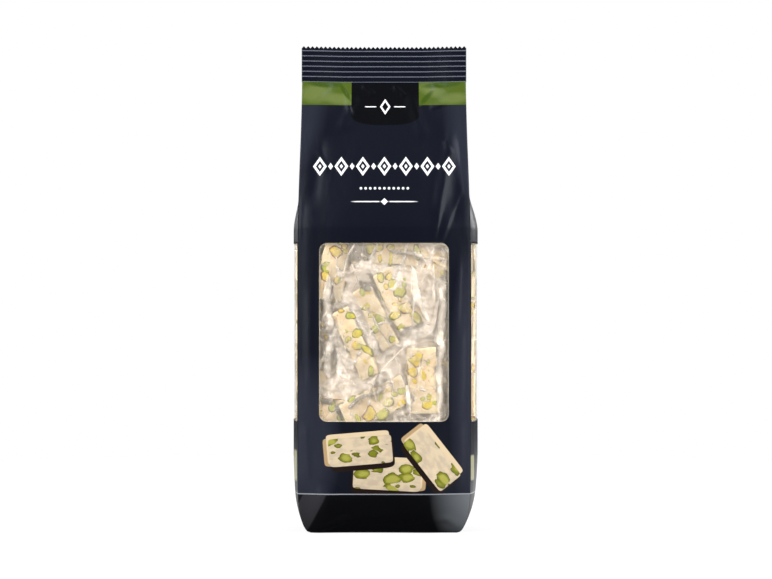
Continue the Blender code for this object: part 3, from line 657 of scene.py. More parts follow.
# Pistachio: pale yellow-green inside, olive towards the cut's edge, and brown skin round some. rim and tone
# are the mesh's own numbers: how far out on the nut, and the nut's own shade.
def makePistachio():
    look = nutColours
    material, tree, shader = newMaterial("pistachio", Roughness=0.45, Subsurface_Weight=0.15,
                                         Subsurface_Radius=(1.0, 0.9, 0.3), Subsurface_Scale=1.5 * mm)
    place, tone = placeInMm(tree), meshValue(tree, "tone")
    mottle, streaks = noiseAt(tree, place, 0.7, 3.0)["Fac"], noiseAt(tree, place, 2.2, 2.0)["Fac"]
    inside = mixColour(tree, remap(tree, tone, 0.2, 0.9), look["yellow"], look["green"])
    inside = mixColour(tree, remap(tree, mottle, 0.5, 0.75, 0.0, 0.7), inside, look["pale"])
    inside = mixColour(tree, remap(tree, streaks, 0.5, 0.7, 0.0, 0.45), inside, look["edge"])
    skin = mixColour(tree, remap(tree, tone, 0.25, 0.4), look["skin"], look["edge"])
    edge = remap(tree, calc(tree, "MULTIPLY_ADD", mottle, 0.5, meshValue(tree, "rim")), 0.84, 1.06)
    tree.links.new(mixColour(tree, edge, inside, skin), shader.inputs["Base Color"])
    bumpFrom(tree, shader, streaks, 0.3)
    return material, "nougat"


# Each look is a material and the slot that it stands for.
frontFilmLook = makePrintedFilm("printed_front_film", panelPaintedSheens + greenBandAndPaintedFolds + blackTab + makeOrnaments()
                                + makePrintedBars() + foot + footPaintedSheens + ruleAndSealFootHighlight)
sideFilmLook = makePrintedFilm("printed_side_film", greenBandAndPaintedFolds + foot + ruleAndSealFootHighlight + sideStrips)
# The seal's rib crests get a painted highlight.
sealFilmLook = makePrintedFilm("printed_seal_film", [], crestHighlight=printAndPaintedLightColours["rib"])
paneLook = makeClearFilm("clear_pane")
wrapperLook = makeClearFilm("clear_wrapper")
nougatLook = makeNougat()
pistachioLook = makePistachio()

# The printed film, panel by panel, with its windows cut out.
filmForm = {"wall": 0.14, "step": 0.62, "sideStep": 0.8, "backColumns": 140, "seamEdge": 0.6,
            "seamStart": 2.0, "seamPitch": 3.0, "seamRib": 0.06}


def addFilm(name, points, quads, look=sideFilmLook):  # leaves out the points that no quad uses
    used = np.unique(quads)
    film = addPiece(name, points.reshape(-1, 3)[used], np.searchsorted(used, quads), look, "bag")
    thicken(film, filmForm["wall"])


def panelGrid(columns, step, way=1):  # shares from one crease to the other, by height
    up = np.linspace(0, bagForm["sealFoot"] + 0.1, int(bagForm["sealFoot"] / step) + 1)
    return np.meshgrid(np.linspace(-1, 1, columns + 1) * way, up)


def frontFilm():  # across and up on a grid, with the window left open
    share, z = panelGrid(int(2 * bagForm["halfWidth"] / filmForm["step"]), filmForm["step"])
    x, z, quads = openWindow(share * bagSection(z)[0], z, frontWindow)
    addFilm("front_film", np.stack([x, frontY(x, z), z], axis=-1), quads, frontFilmLook)


def sideFilm(name, side):  # from the front crease to the back crease, with its own window
    t, z = panelGrid(int(2 * bagForm["halfDepth"] / filmForm["sideStep"]), filmForm["sideStep"], side)
    y, z, quads = openWindow(t * (bagSection(z)[1] + bagForm["lip"]), z, sideWindow)
    x = sideX(side, sideShare(y, z), z)
    addFilm(name, np.stack([x, y + sealBow(x, z), z], axis=-1), quads)


# The back panel, with the lapped seam standing out along its middle, and pressed ribs along the seam.
def backFilm():
    form = filmForm
    share, z = panelGrid(form["backColumns"], form["sideStep"], -1)
    x = share * bagSection(z)[0]
    seamHalf = bagForm["seamHalfWidth"] * bagForm["halfWidth"]
    onSeam = ease((seamHalf - np.abs(x)) / form["seamEdge"])
    onSeam *= ease((z - bagForm["baseLine"]) / form["seamStart"])
    seam = onSeam * (bagForm["seamStep"] + form["seamRib"] * np.sin(2 * math.pi * z / form["seamPitch"]))
    folds = foldHeight(x, z, share, backFolds) * (1 - onSeam)
    addFilm("back_film", np.stack([x, backY(x, z) + seam + folds, z], axis=-1), gridQuads(*z.shape))


# The base: a flat rim round a panel pressed up by a little, with the bottom seam folded across it.
baseForm = {"rim": 4.5, "rimEdge": 1.2, "recess": 0.6, "seamHalf": (31.0, 4.5), "seamEdge": 0.8,
            "columns": 90, "rows": 44}


def baseFilm():
    form = baseForm
    halfWidth, halfDepth = (float(part) for part in bagSection(np.array(0.0))[:2])
    halfDepth += bagForm["lip"]
    y, x = np.meshgrid(np.linspace(halfDepth, -halfDepth, form["rows"] + 1),
                       np.linspace(-halfWidth, halfWidth, form["columns"] + 1), indexing="ij")
    inward = np.minimum(halfWidth - np.abs(x), halfDepth - np.abs(y))
    seam = ease((form["seamHalf"][0] - np.abs(x)) / form["seamEdge"])
    seam *= ease((form["seamHalf"][1] - np.abs(y)) / form["seamEdge"])
    z = form["recess"] * ease((inward - form["rim"]) / form["rimEdge"]) * (1 - seam)
    addFilm("base_film", np.stack([x, y, z], axis=-1), gridQuads(*z.shape))


# The pressed seal: a plate with rounded ribs across it and a pinked upper edge.
sealForm = {"ribs": 6, "pitch": 2.56, "first": 225.85, "ribHalf": 0.5, "ribDepth": 0.38, "teeth": 38,
            "toothHeight": 1.1, "thickness": 0.55, "rowStep": 0.16, "trimRows": 8, "under": 0.3,
            "aboveTrim": 0.15}


# Each rib is 1 + cos of the way from its middle, and a triangle wave trims the rows above the last.
def sealPlate():
    form = sealForm
    columns = form["teeth"] * 4
    low = bagForm["sealFoot"] - form["under"]
    trim = bagForm["height"] - form["toothHeight"] - form["aboveTrim"]
    tooth = np.abs((np.arange(columns + 1) / 2) % 2 - 1)
    top = bagForm["height"] - form["toothHeight"] * tooth
    plain = np.arange(low, trim, form["rowStep"])[:, None] + np.zeros(columns + 1)
    trimmed = trim + np.linspace(0, 1, form["trimRows"])[:, None] * (top[None, :] - trim)
    z = np.concatenate([plain, trimmed])
    x = np.broadcast_to(np.linspace(-1, 1, columns + 1) * bagForm["sealHalfWidth"], z.shape)
    away = (z - form["first"]) / form["pitch"]
    middle = np.clip(np.round(away), 0, form["ribs"] - 1)
    fromRib = np.clip(np.abs(away - middle) * form["pitch"] / form["ribHalf"], 0, 1)
    crest = 0.5 * (1 + np.cos(math.pi * fromRib))
    y = sealBow(x, z) - form["ribDepth"] * crest - form["thickness"] / 2
    plate = addGrids("top_seal", np.stack([x, y, z], axis=-1), sealFilmLook, "bag", values={"crest": crest})
    thicken(plate, form["thickness"])


print("printed film")
frontFilm()
sideFilm("left_film", -1)
sideFilm("right_film", 1)
backFilm()
baseFilm()
sealPlate()

# The clear windows: the same surface as the film, just inside it, with the slow waves of a stretched film.
# pressed is 1 in the narrow doubled strip along a window's outline.
paneForm = {"inset": 0.16, "overlap": 0.9, "wall": 0.06, "step": 0.8, "wave": 0.25, "waveLength": 26.0,
            "edge": 0.3, "edgeStart": 1.6}


def addPane(name, node, window, seed, side=0):  # side is 0 for the front, else -1 or 1
    form = paneForm
    half = window[1][0] + form["overlap"]
    low, high = windowLow - form["overlap"], windowHigh + form["overlap"]
    columns = np.linspace(-half, half, int(2 * half / form["step"])) * (side or 1)
    z, across = np.meshgrid(np.arange(low, high + form["step"], form["step"]), columns, indexing="ij")
    if side:
        wave = form["wave"] * (1 + ripple(0, across, z, form["waveLength"], seed)) / 2
        x, y = sideX(side, sideShare(across, z), z, form["inset"]) - side * wave, across
    else:
        wave = form["wave"] * (1 + ripple(across, 0, z, form["waveLength"], seed)) / 2
        x, y = across, frontY(across, z, form["inset"]) + wave
    pressed = ease(form["edgeStart"] + roundedDistance(across, z, window)[0] / form["edge"])
    pane = addGrids(name, np.stack([x, y, z], axis=-1), paneLook, node, values={"pressed": pressed})
    thicken(pane, form["wall"])


print("clear windows")
addPane("front_pane", "front_window", frontWindow, 4)
addPane("left_pane", "left_window", sideWindow, 7, -1)
addPane("right_pane", "right_window", sideWindow, 7, 1)

# The bars. Those against the front window are given by their place in it: across, up, lean to the right, roll
# about the bar's own length, how far behind the window, and length as a share of a whole bar.
barForm = {"length": 34.0, "width": 15.0, "thickness": 10.0, "corner": 0.9, "lump": 0.25, "lumpLength": 9.0,
           "seed": 5, "heapInset": 1.3, "around": 48, "along": 26, "edgeHighlightWidth": 1.1, "boxPower": 14.0,
           "endRings": (0, 0.3, 0.55, 0.76, 0.92), "lastRing": 0.975, "lastStep": 0.25, "sideShift": 3.0}
frontBars = [
    (-24.9, 130.7, 15, 8, 0.3, 1.0), (0.5, 139.5, 92, 0, 2.5, 0.95), (23, 136.5, 87, 10, 4.0, 1.0),
    (28.6, 114, 2, -12, 2.0, 1.0), (17.5, 122.5, -16, 20, 8.0, 0.9), (6.8, 115.1, -26, 14, 0.2, 0.9),
    (-3.2, 106.3, -26, 84, 1.2, 0.95), (-13.2, 93.8, -25, 80, 0.2, 1.06), (-29.6, 97, 1, -10, 2.2, 1.08),
    (20.5, 95.5, 84, -15, 4.5, 0.9), (18.8, 75, -2, 3, 0.4, 0.95), (32, 74, 1, -20, 3.0, 1.0),
    (4.8, 82, -38, 25, 7.0, 1.0), (-4, 63.5, 64, -6, 0.6, 1.0), (-26.5, 76.5, -3, 18, 4.5, 0.9),
    (-25.4, 58.5, 92, 0, 1.5, 0.85), (12, 57.5, 100, 8, 4.0, 0.9),
]
sideBarLeans = (12, -24, 81, -8)


def turned(lean, roll):  # lean about Y after a roll about Z, in degrees
    lean, roll = math.radians(lean), math.radians(roll)
    aboutY = [[math.cos(lean), 0, math.sin(lean)], [0, 1, 0], [-math.sin(lean), 0, math.cos(lean)]]
    aboutZ = [[math.cos(roll), -math.sin(roll), 0], [math.sin(roll), math.cos(roll), 0], [0, 0, 1]]
    return np.array(aboutY), np.array(aboutZ)


def barPlaces():  # rotation, middle and length of every bar that shows, in mm from the bag's axis
    form = barForm
    places = []
    for x, z, lean, roll, behind, share in frontBars:
        aboutY, aboutZ = turned(lean, roll)
        shownHalf = (form["thickness"] * abs(aboutZ[0, 0]) + form["width"] * abs(aboutZ[1, 0])) / 2
        y = float(frontY(np.array(float(x)), np.array(float(z)))) + form["heapInset"] + behind + shownHalf
        places.append((aboutY @ aboutZ, np.array([x, y, z]), form["length"] * share))
    spacing = (windowHigh - windowLow) / len(sideBarLeans)
    for side in (-1, 1):
        swell = bagForm["swellLeft" if side < 0 else "swellRight"]
        x = side * (bagForm["halfWidth"] + swell - form["heapInset"] - form["thickness"] / 2)
        for k, lean in enumerate(sideBarLeans):
            aboutY, aboutZ = turned(lean * side, 90 * side)
            y = form["sideShift"] * side * (1 if k % 2 else -1)
            middle = np.array([x, y, windowHigh - spacing * (k + 0.5)])
            places.append((aboutZ @ aboutY, middle, form["length"]))
    return places


# More bars in rows behind those that show, each at a drawn lean, so that no gap looks through the heap.
hiddenForm = {"rows": 7, "rowStep": 15.5, "lowest": 48.0, "across": (-21.0, 19.0), "deep": (-12.5, 11.0),
              "seed": 3, "shift": 2.5, "lean": (50, 130), "roll": (-25, 25), "share": (0.85, 1.0)}


def hiddenPlaces():
    form = hiddenForm
    chance = np.random.default_rng(form["seed"])
    places = []
    for row in range(form["rows"]):
        for x in form["across"]:
            for y in form["deep"]:
                middle = np.array([x, y, form["lowest"] + row * form["rowStep"]])
                middle = middle + chance.uniform(-form["shift"], form["shift"], 3) * (1, 0.6, 1)
                aboutY, aboutZ = turned(chance.uniform(*form["lean"]), chance.uniform(*form["roll"]))
                places.append((aboutY @ aboutZ, middle, barForm["length"] * chance.uniform(*form["share"])))
    return places


filledHeights = (3.0, 170.0)  # the lowest and highest at which the panels are asked where they are


# Keeps points inside the bag's film: what would stand out through a panel is pressed flat against it.
def pressInside(points, margin):
    x, y, z = points[..., 0], points[..., 1], np.clip(points[..., 2], *filledHeights)
    y = np.clip(y, frontY(x, z, margin), backY(x, z, margin))
    t = sideShare(y, z)
    x = np.clip(x, sideX(-1, t, z, margin), sideX(1, t, z, margin))
    return np.stack([x, y, z], axis=-1)


# Outline of a rounded box: the point (cos a, sin a), each part to the power 0.6 to spread points over the
# faces, is brought to where |x|^p + |y|^p = 1, and then takes the half sizes.
def boxOutline(angle, halfWidth, halfDepth, power):
    x = np.sign(np.cos(angle)) * np.abs(np.cos(angle)) ** 0.6
    y = np.sign(np.sin(angle)) * np.abs(np.sin(angle)) ** 0.6
    reach = (np.abs(x) ** power + np.abs(y) ** power) ** (1 / power)
    return halfWidth * x / reach, halfDepth * y / reach


def roundAngles(count):
    return np.linspace(0, 2 * math.pi, count, endpoint=False)


# A bar: rounded-box rings along its length, drawn in at each end to a flat end and then to its middle point,
# with slow lumps as a knife leaves them. edge is 1 where a point's second-nearest face is close, as along an
# arris, and carries the nougat's painted highlight there.
def nougatBars(places):
    form = barForm
    angle = roundAngles(form["around"]) + math.pi / form["around"]
    body = np.linspace(-1, 1, form["along"])
    ends, last = form["endRings"], form["lastRing"]
    drawn = np.concatenate([ends, [last], np.ones(form["along"]), [last], ends[::-1]])[:, None]
    acrossU, acrossD = boxOutline(angle, form["width"] / 2, form["thickness"] / 2, form["boxPower"])
    shapes, edgeHighlights = [], []
    for turn, middle, length in places:
        half = length / 2
        rows = np.concatenate([[-half] * 5, [form["lastStep"] - half], body * (half - form["corner"]),
                               [half - form["lastStep"]], [half] * 5])[:, None]
        local = np.stack([drawn * acrossU, drawn * acrossD, rows + np.zeros(len(angle))], axis=-1)
        toFaces = np.sort(np.array([form["width"] / 2, form["thickness"] / 2, half]) - np.abs(local), axis=-1)
        edgeHighlights.append(ease(1 - toFaces[..., 1] / form["edgeHighlightWidth"]))
        seed = int(abs(middle[0] * 7 + middle[2] * 13)) % 997
        for part in range(3):
            lumps = ripple(*np.moveaxis(local, -1, 0), form["lumpLength"], seed + part)
            local[..., part] += form["lump"] * lumps
        shapes.append(pressInside(local @ turn.T + middle, form["heapInset"]))
    addGrids("nougat_bars", shapes, nougatLook, "nougat_heap", loop=True, values={"edge": np.array(edgeHighlights)},
             weld=True)


# Pistachios that show best: place across and up in the front window, half size across and up, turn, and shade
# from 0, yellow with brown skin, to 1, green.
shownNuts = [
    (-23.5, 138.2, 3.2, 2.9, 10, 0.15), (-27.9, 130.5, 2.5, 3.0, 0, 0.8), (-23.0, 124.3, 1.5, 2.2, 5, 0.1),
    (3.4, 140.3, 1.7, 2.2, 0, 0.4), (16.1, 138.0, 4.0, 1.5, 8, 0.75), (3.4, 135.1, 3.6, 1.0, 0, 0.45),
    (6.4, 128.4, 1.2, 0.8, 0, 0.9), (2.5, 126.0, 1.9, 1.7, 30, 0.35), (5.4, 122.6, 2.0, 1.5, -40, 0.95),
    (7.8, 119.0, 3.2, 3.3, -30, 0.7), (1.0, 121.0, 1.3, 1.6, 0, 0.05), (10.8, 110.7, 3.2, 3.3, 20, 0.15),
    (15.6, 106.3, 2.2, 3.6, 10, 0.6), (8.8, 101.8, 1.2, 1.4, 0, 0.8), (-21.0, 109.2, 1.8, 1.0, 20, 0.3),
    (-15.6, 106.7, 1.2, 1.9, -20, 0.5), (-10.3, 102.4, 1.6, 4.0, -28, 0.3), (-18.1, 99.9, 1.4, 2.0, 0, 0.75),
    (-12.7, 92.0, 1.7, 2.0, 0, 0.65), (-8.3, 90.1, 1.6, 3.8, -25, 0.55), (15.6, 84.7, 2.8, 3.2, 0, 0.2),
    (19.1, 77.9, 1.7, 3.8, 3, 0.35), (21.5, 63.2, 3.0, 2.4, 20, 0.4), (-29.3, 82.8, 1.3, 3.0, 0, 0.55),
    (-15.6, 65.7, 1.3, 2.4, 15, 0.85), (-1.5, 67.1, 1.2, 3.0, 45, 0.75), (-6.4, 59.3, 3.1, 2.9, 0, 0.25),
    (-1.0, 58.8, 2.6, 3.6, 30, 0.7), (-12.7, 56.4, 2.5, 1.0, 5, 0.8), (9.3, 64.7, 1.7, 1.2, 40, 0.3),
]
nutForm = {"rings": 4, "around": 16, "dome": 0.5, "sunk": 0.25, "rough": 0.2, "eachFace": 9,
           "hiddenEachFace": 3, "radius": (1.1, 2.9), "slim": (0.45, 1.2), "clearSide": 1.5, "clearEnd": 2,
           "endHalf": 3, "proud": 0.12, "leastFacing": 0.3}


# Which bar a line of sight through the window meets first, and where: a face is the plane at half the bar's
# width or thickness, on the side that looks to the front, as far as its edges.
def faceBehind(places, x, z):
    best = None
    halves = (barForm["width"] / 2, barForm["thickness"] / 2)
    for turn, middle, length in places:
        sight = turn.T @ np.array([0.0, 1.0, 0.0])  # in the bar's own axes
        start = turn.T @ (np.array([x, 0.0, z]) - middle)
        for axis in (1, 0):
            if abs(sight[axis]) < nutForm["leastFacing"]:
                continue
            side = -np.sign(sight[axis])
            travel = (halves[axis] * side - start[axis]) / sight[axis]
            hit = start + sight * travel
            onFace = abs(hit[1 - axis]) < halves[1 - axis] and abs(hit[2]) < length / 2
            if onFace and (best is None or travel < best[0]):
                best = (travel, turn, middle, axis, side, hit)
    return best


# A cut nut: rings out from its middle on the face of its bar, in an uneven ellipse, with a low dome over it,
# 1 - s^4, that sinks under the face at its edge. The rings reach out a little further, so that the part above
# the face has the full size. rim is the share of the way out, and tone the nut's shade.
def pistachioNuts(places, shownCount):
    form = nutForm
    chance = np.random.default_rng(barForm["seed"])
    wanted = []
    for x, z, halfU, halfV, turn, tone in shownNuts:
        found = faceBehind(places, x, z)
        if found:
            wanted.append((*found[1:], halfU, halfV, turn, tone))
    for number, (turn, middle, length) in enumerate(places):
        sizes = (barForm["width"], barForm["thickness"], length)
        eachFace = form["eachFace"] if number < shownCount else form["hiddenEachFace"]
        for axis in (1, 0, 2):
            halfWide = (barForm["width"] if axis == 1 else barForm["thickness"]) / 2 - form["clearSide"]
            for sign in (-1, 1):
                for k in range(eachFace if axis != 2 else 1):
                    hit = np.zeros(3)
                    hit[0 if axis != 0 else 1] = chance.uniform(-halfWide, halfWide)
                    halfLong = length / 2 - form["clearEnd"] if axis != 2 else form["endHalf"]
                    hit[2 if axis != 2 else 1] = chance.uniform(-1, 1) * halfLong
                    hit[axis] = sign * sizes[axis] / 2
                    size = chance.uniform(*form["radius"])
                    wanted.append((turn, middle, axis, sign, hit, size, size * chance.uniform(*form["slim"]),
                                   chance.uniform(0, 180), chance.uniform(0, 1)))
    share = np.linspace(0, 1, form["rings"] + 1)[:, None]
    angle = roundAngles(form["around"])[None, :]
    reach = share / (1 - form["sunk"] / form["dome"]) ** 0.25
    shapes, tones = [], []
    for turn, middle, axis, sign, hit, halfU, halfV, spin, tone in wanted:
        uneven = 1 + form["rough"] * sum(
            chance.uniform(-1, 1) * np.sin(k * angle + chance.uniform(0, 6.3)) / k**0.5 for k in (2, 3, 4, 6))
        u, v = halfU * reach * uneven * np.cos(angle), halfV * reach * uneven * np.sin(angle)
        spin = math.radians(spin)
        u, v = u * math.cos(spin) - v * math.sin(spin), u * math.sin(spin) + v * math.cos(spin)
        local = np.zeros((*u.shape, 3))
        first, second = [k for k in range(3) if k != axis]
        local[..., first], local[..., second] = hit[first] + u, hit[second] + v
        local[..., axis] = hit[axis] + sign * (form["dome"] * (1 - share**4) - form["sunk"])
        shapes.append(pressInside(local @ turn.T + middle, barForm["heapInset"] - form["proud"]))
        tones.append(np.full(u.shape, tone))
    rims = np.broadcast_to(share, np.shape(tones))
    addGrids("pistachios", shapes, pistachioLook, "nougat_heap", loop=True,
             values={"rim": rims, "tone": np.array(tones)}, weld=True)


# The wrappers: a flow-wrapped tube round each bar. Round the bar it is a loose rounded box with crinkles, and
# past the bar's ends it flattens over a pleated shoulder to a wide fin with fine crimps across it. pressed is
# 1 on the fins, where two films lie on each other.
wrapperForm = {"slack": 0.45, "start": 0.3, "shoulder": 4.5, "fin": 8.0, "finHalfWidth": 9.5,
               "finHalfDepth": 0.1, "boxPower": 6.0, "crinkle": 0.45, "crinkleLength": 5.0, "fold": 0.9,
               "foldLength": 14.0, "pleats": 9, "pleat": 3.2, "pleatLength": 6.0, "wave": 0.8,
               "waveLength": 9.0, "crimp": 0.16, "crimpPitch": 1.25, "around": 56, "along": 100, "curl": 3.0,
               "inset": 0.45, "insetStep": 0.12}


def wrappers(name, places, seed):
    form = wrapperForm
    angle = roundAngles(form["around"])[None, :]
    shapes, pressed = [], []
    for number, (turn, middle, length) in enumerate(places):
        chance = np.random.default_rng(seed + number)
        reach = length / 2 + form["shoulder"] + form["fin"]
        v = np.linspace(-reach, reach, form["along"])[:, None]
        beyond = np.abs(v) - length / 2 - form["start"]
        flat = ease(beyond / form["shoulder"])
        halfWidth = (barForm["width"] / 2 + form["slack"]) * (1 - flat) + form["finHalfWidth"] * flat
        halfDepth = (barForm["thickness"] / 2 + form["slack"]) * (1 - flat) + form["finHalfDepth"] * flat
        u, d = boxOutline(angle, 1.0, 1.0, form["boxPower"])
        u, d = u * halfWidth, d * halfDepth
        along = np.broadcast_to(v, u.shape)
        crinkles = form["crinkle"] * (1 - flat)
        crinkles = crinkles * ripple(u, d, along, form["crinkleLength"], seed + 100 + number)
        ridged = 1 - np.abs(ripple(u, d, along * 0.7, form["foldLength"], seed + 200 + number)) * 2
        folds = form["fold"] * (1 - 0.7 * flat) * np.maximum(ridged, 0) ** 3
        uneven = ripple(u, d, along, form["pleatLength"], seed + 300 + number)
        pleated = np.sin(form["pleats"] * angle + uneven)
        pleats = form["pleat"] * flat * (1 - flat) * pleated
        grown = 1 + (crinkles + folds * (1 - flat) + pleats) / np.hypot(u, d)
        crimps = form["crimp"] * flat * np.sin(2 * math.pi * along / form["crimpPitch"])
        curl = form["curl"] * chance.uniform(-1, 1, 2)
        bent = np.where(v > 0, curl[0], curl[1]) * ease(beyond / (form["shoulder"] + form["fin"])) ** 2
        wave = flat * (form["wave"] * ripple(u, 0, along, form["waveLength"], seed + 400 + number) + folds)
        local = np.stack([u * grown, d * grown + crimps + bent + wave, along], axis=-1)
        shapes.append(pressInside(local @ turn.T + middle, form["inset"] + form["insetStep"] * (number % 5)))
        pressed.append(np.broadcast_to(flat, u.shape))
    addGrids(name, shapes, wrapperLook, "nougat_heap", loop=True, values={"pressed": np.array(pressed)})


# Loose film between the bars, behind the front window: crushed sheets of wrapper ends. Each follows the front
# panel at its own depth, with ridges where slow noise crosses zero, (1 - 2|noise|)^3, creases of
# (1 - 3|noise|)^2, and fine crinkles. Past the window's edge it keeps deeper, clear of the printed film.
looseForm = {"depths": (2.2, 4.8, 8.0), "pressed": (0.3, 2.1, 2.9), "ridge": 2.4, "ridgeLength": 17.0,
             "crease": 0.9, "creaseLength": 13.0, "crinkle": 0.35, "crinkleLength": 4.0, "patchLength": 9.0,
             "step": 0.6, "margin": 4.0, "least": 0.5, "leastPastEdge": 1.3}


def looseFilm():
    form = looseForm
    halfWidth, halfHeight = frontWindow[1]
    halfX, halfZ = halfWidth + form["margin"], halfHeight + form["margin"]
    z, x = np.meshgrid(np.arange(-halfZ, halfZ, form["step"]) + windowMiddle[1],
                       np.arange(-halfX, halfX, form["step"]), indexing="ij")
    beyond = np.maximum(np.abs(x) - halfWidth, np.abs(z - windowMiddle[1]) - halfHeight)
    least = form["least"] + form["leastPastEdge"] * np.clip(1 + beyond / 2, 0, 1)
    sheets, pressed = [], []
    for number, depth in enumerate(form["depths"]):
        ridged = np.maximum(1 - 2 * np.abs(ripple(x, 0, z * 0.6, form["ridgeLength"], 60 + number)), 0) ** 3
        creased = np.maximum(1 - 3 * np.abs(ripple(x, 0, z, form["creaseLength"], 90 + number)), 0) ** 2
        deeper = depth - form["ridge"] * ridged - form["crease"] * creased
        deeper += form["crinkle"] * ripple(x, 0, z, form["crinkleLength"], 70 + number)
        sheets.append(np.stack([x, frontY(x, z) + np.maximum(deeper, least), z], axis=-1))
        patches = 1 + 0.3 * ripple(x, 0, z, form["patchLength"], 80 + number)
        pressed.append(form["pressed"][number] * patches)
    addGrids("loose_film", sheets, wrapperLook, "nougat_heap", values={"pressed": np.array(pressed)})


# Strips of wrapper over the bars, a few of them painted highlights: both ends (across, up), width, depth
# behind the front, and how white.
filmStripsAndPaintedHighlights = [
    ((-15, 142), (-21, 123), 1.6, 0.5, 1.5), ((-14, 143), (-7, 119), 9.0, 1.6, 0.7),
    ((12, 131), (21.5, 104), 3.4, 0.4, 1.5), ((24, 132), (24.5, 108), 1.6, 1.0, 1.3),
    ((-27.6, 127), (-26.8, 76), 4.8, 0.5, 1.4), ((28.8, 140), (28, 92), 6.5, 0.9, 1.3),
    # The strip from (-1, 80) to (12.5, 94.5) is a painted highlight along a bar's edge, and the two short
    # ones from (19.2, 85.4) and (17.4, 70.6) are painted glints.
    ((28, 121), (27.4, 59), 3.8, 0.6, 1.4), ((-1, 80), (12.5, 94.5), 1.3, 0.5, 1.6),
    ((-1, 80), (-3.5, 69), 2.2, 0.6, 1.0), ((-22.8, 77.6), (-18.6, 75.8), 2.0, 0.4, 2.2),
    ((19.2, 85.4), (22, 84.2), 1.2, 0.4, 2.2), ((17.4, 70.6), (20.6, 70.2), 1.1, 0.4, 2.0),
    ((7, 99.5), (27, 98), 6.0, 1.2, 0.8), ((-19, 114), (-3, 88), 4.4, 1.4, 0.75),
    ((-25, 97), (-19, 78), 6.5, 1.8, 0.6), ((2, 139), (30, 134), 3.0, 0.6, 0.9),
    ((-18, 62), (4, 74), 2.4, 0.5, 0.9), ((11, 73), (12.5, 55), 2.4, 0.6, 1.1),
    ((-31, 64.5), (-25, 64), 5.0, 0.8, 0.8), ((-9.5, 112), (3.5, 91), 1.2, 0.35, 1.0),
    ((-24, 90), (-14, 73), 1.3, 0.5, 1.3),
]
stripForm = {"across": 12, "along": 60, "edgeLength": 12.0, "wander": 1.1, "wanderLength": 16.0,
             "crinkle": 0.25, "crinkleLength": 3.5, "curl": 0.9, "least": 0.4, "whitest": 2.4}


# A strip runs straight between its ends, with its edges wandering by noise and its narrow ends drawn to a
# point. It is whitest along its middle, and curls back at its edges by the square of the way out.
def wrapperStrips():
    form = stripForm
    shapes, pressed = [], []
    rows, columns = np.linspace(0, 1, form["along"]), np.linspace(-1, 1, form["across"])
    share, across = np.meshgrid(rows, columns, indexing="ij")
    ends = np.sqrt(np.clip(4 * share * (1 - share), 0, 1)) ** 0.5
    for number, ((startX, startZ), (endX, endZ), width, depth, white) in enumerate(filmStripsAndPaintedHighlights):
        along = np.array([endX - startX, endZ - startZ])
        length = float(np.hypot(*along))
        along = along / length
        noise = ripple(share * length, 0, across, form["edgeLength"], 800 + number)
        side = across * width / 2 * ends * (1 + 0.35 * noise)
        wander = form["wander"] * ripple(share * length, 0, 0, form["wanderLength"], 830 + number)
        side = side + wander * min(width / 3, 1)
        x = startX + along[0] * share * length + along[1] * side
        z = startZ + along[1] * share * length - along[0] * side
        crinkles = form["crinkle"] * ripple(x, 0, z, form["crinkleLength"], 860 + number)
        deeper = depth + crinkles + form["curl"] * across**2
        shapes.append(np.stack([x, frontY(x, z) + np.maximum(deeper, form["least"]), z], axis=-1))
        pressed.append(white * (1 - across**2) * (0.75 + 0.5 * noise))
    addGrids("wrapper_strips", shapes, wrapperLook, "nougat_heap",
             values={"pressed": np.clip(np.array(pressed), 0, form["whitest"])})


# The heap's own core, behind the bars: a rounded box from base to shoulder, with lumps.
coreForm = {"low": 6.0, "high": 156.0, "halfWidth": 32.0, "halfDepth": 15.2, "behind": 3.2, "round": 9.0,
            "boxPower": 6.0, "lump": 0.06, "lumpLength": 12.0, "around": 160, "rows": 70, "inset": 2.0}


def heapCore():
    form = coreForm
    z = np.linspace(form["low"], form["high"], form["rows"])[:, None]
    fromEnd = np.minimum(z - form["low"], form["high"] - z) / form["round"]
    closed = np.sqrt(1 - np.clip(1 - fromEnd, 0, 1) ** 2)
    angle = roundAngles(form["around"])[None, :]
    x, y = boxOutline(angle, form["halfWidth"], form["halfDepth"], form["boxPower"])
    x, y = x * closed, y * closed
    z = np.broadcast_to(z, x.shape)
    lump = 1 + form["lump"] * ripple(x, y, z, form["lumpLength"], 21)
    points = pressInside(np.stack([x * lump, y * lump + form["behind"], z], axis=-1), form["inset"])
    addGrids("heap_core", points, nougatLook, "nougat_heap", loop=True, weld=True)


print("nougat bars and their wrappers")
places = barPlaces()
allPlaces = places + hiddenPlaces()
nougatBars(allPlaces)
pistachioNuts(allPlaces, len(places))
wrappers("front_wrappers", places[:len(frontBars)], 1000)
wrappers("side_wrappers", places[len(frontBars):], 2000)
looseFilm()
wrapperStrips()
heapCore()

# Floor, light and camera. To the camera the floor glows evenly white. For other rays it glows only beside the
# bag, as a hidden light that puts a sheen on the bag's foot, and its own dark grey throws back a little
# light.
stageLook = {"world": 0.05, "behind": 1.0, "floor": 0.14, "floorGlow": 0.82, "floorRadius": 0.5,
             "hiddenGlowRight": 1.2, "hiddenGlowLeft": 0.6, "hiddenGlowFrom": 25.0, "hiddenGlowTo": 110.0}


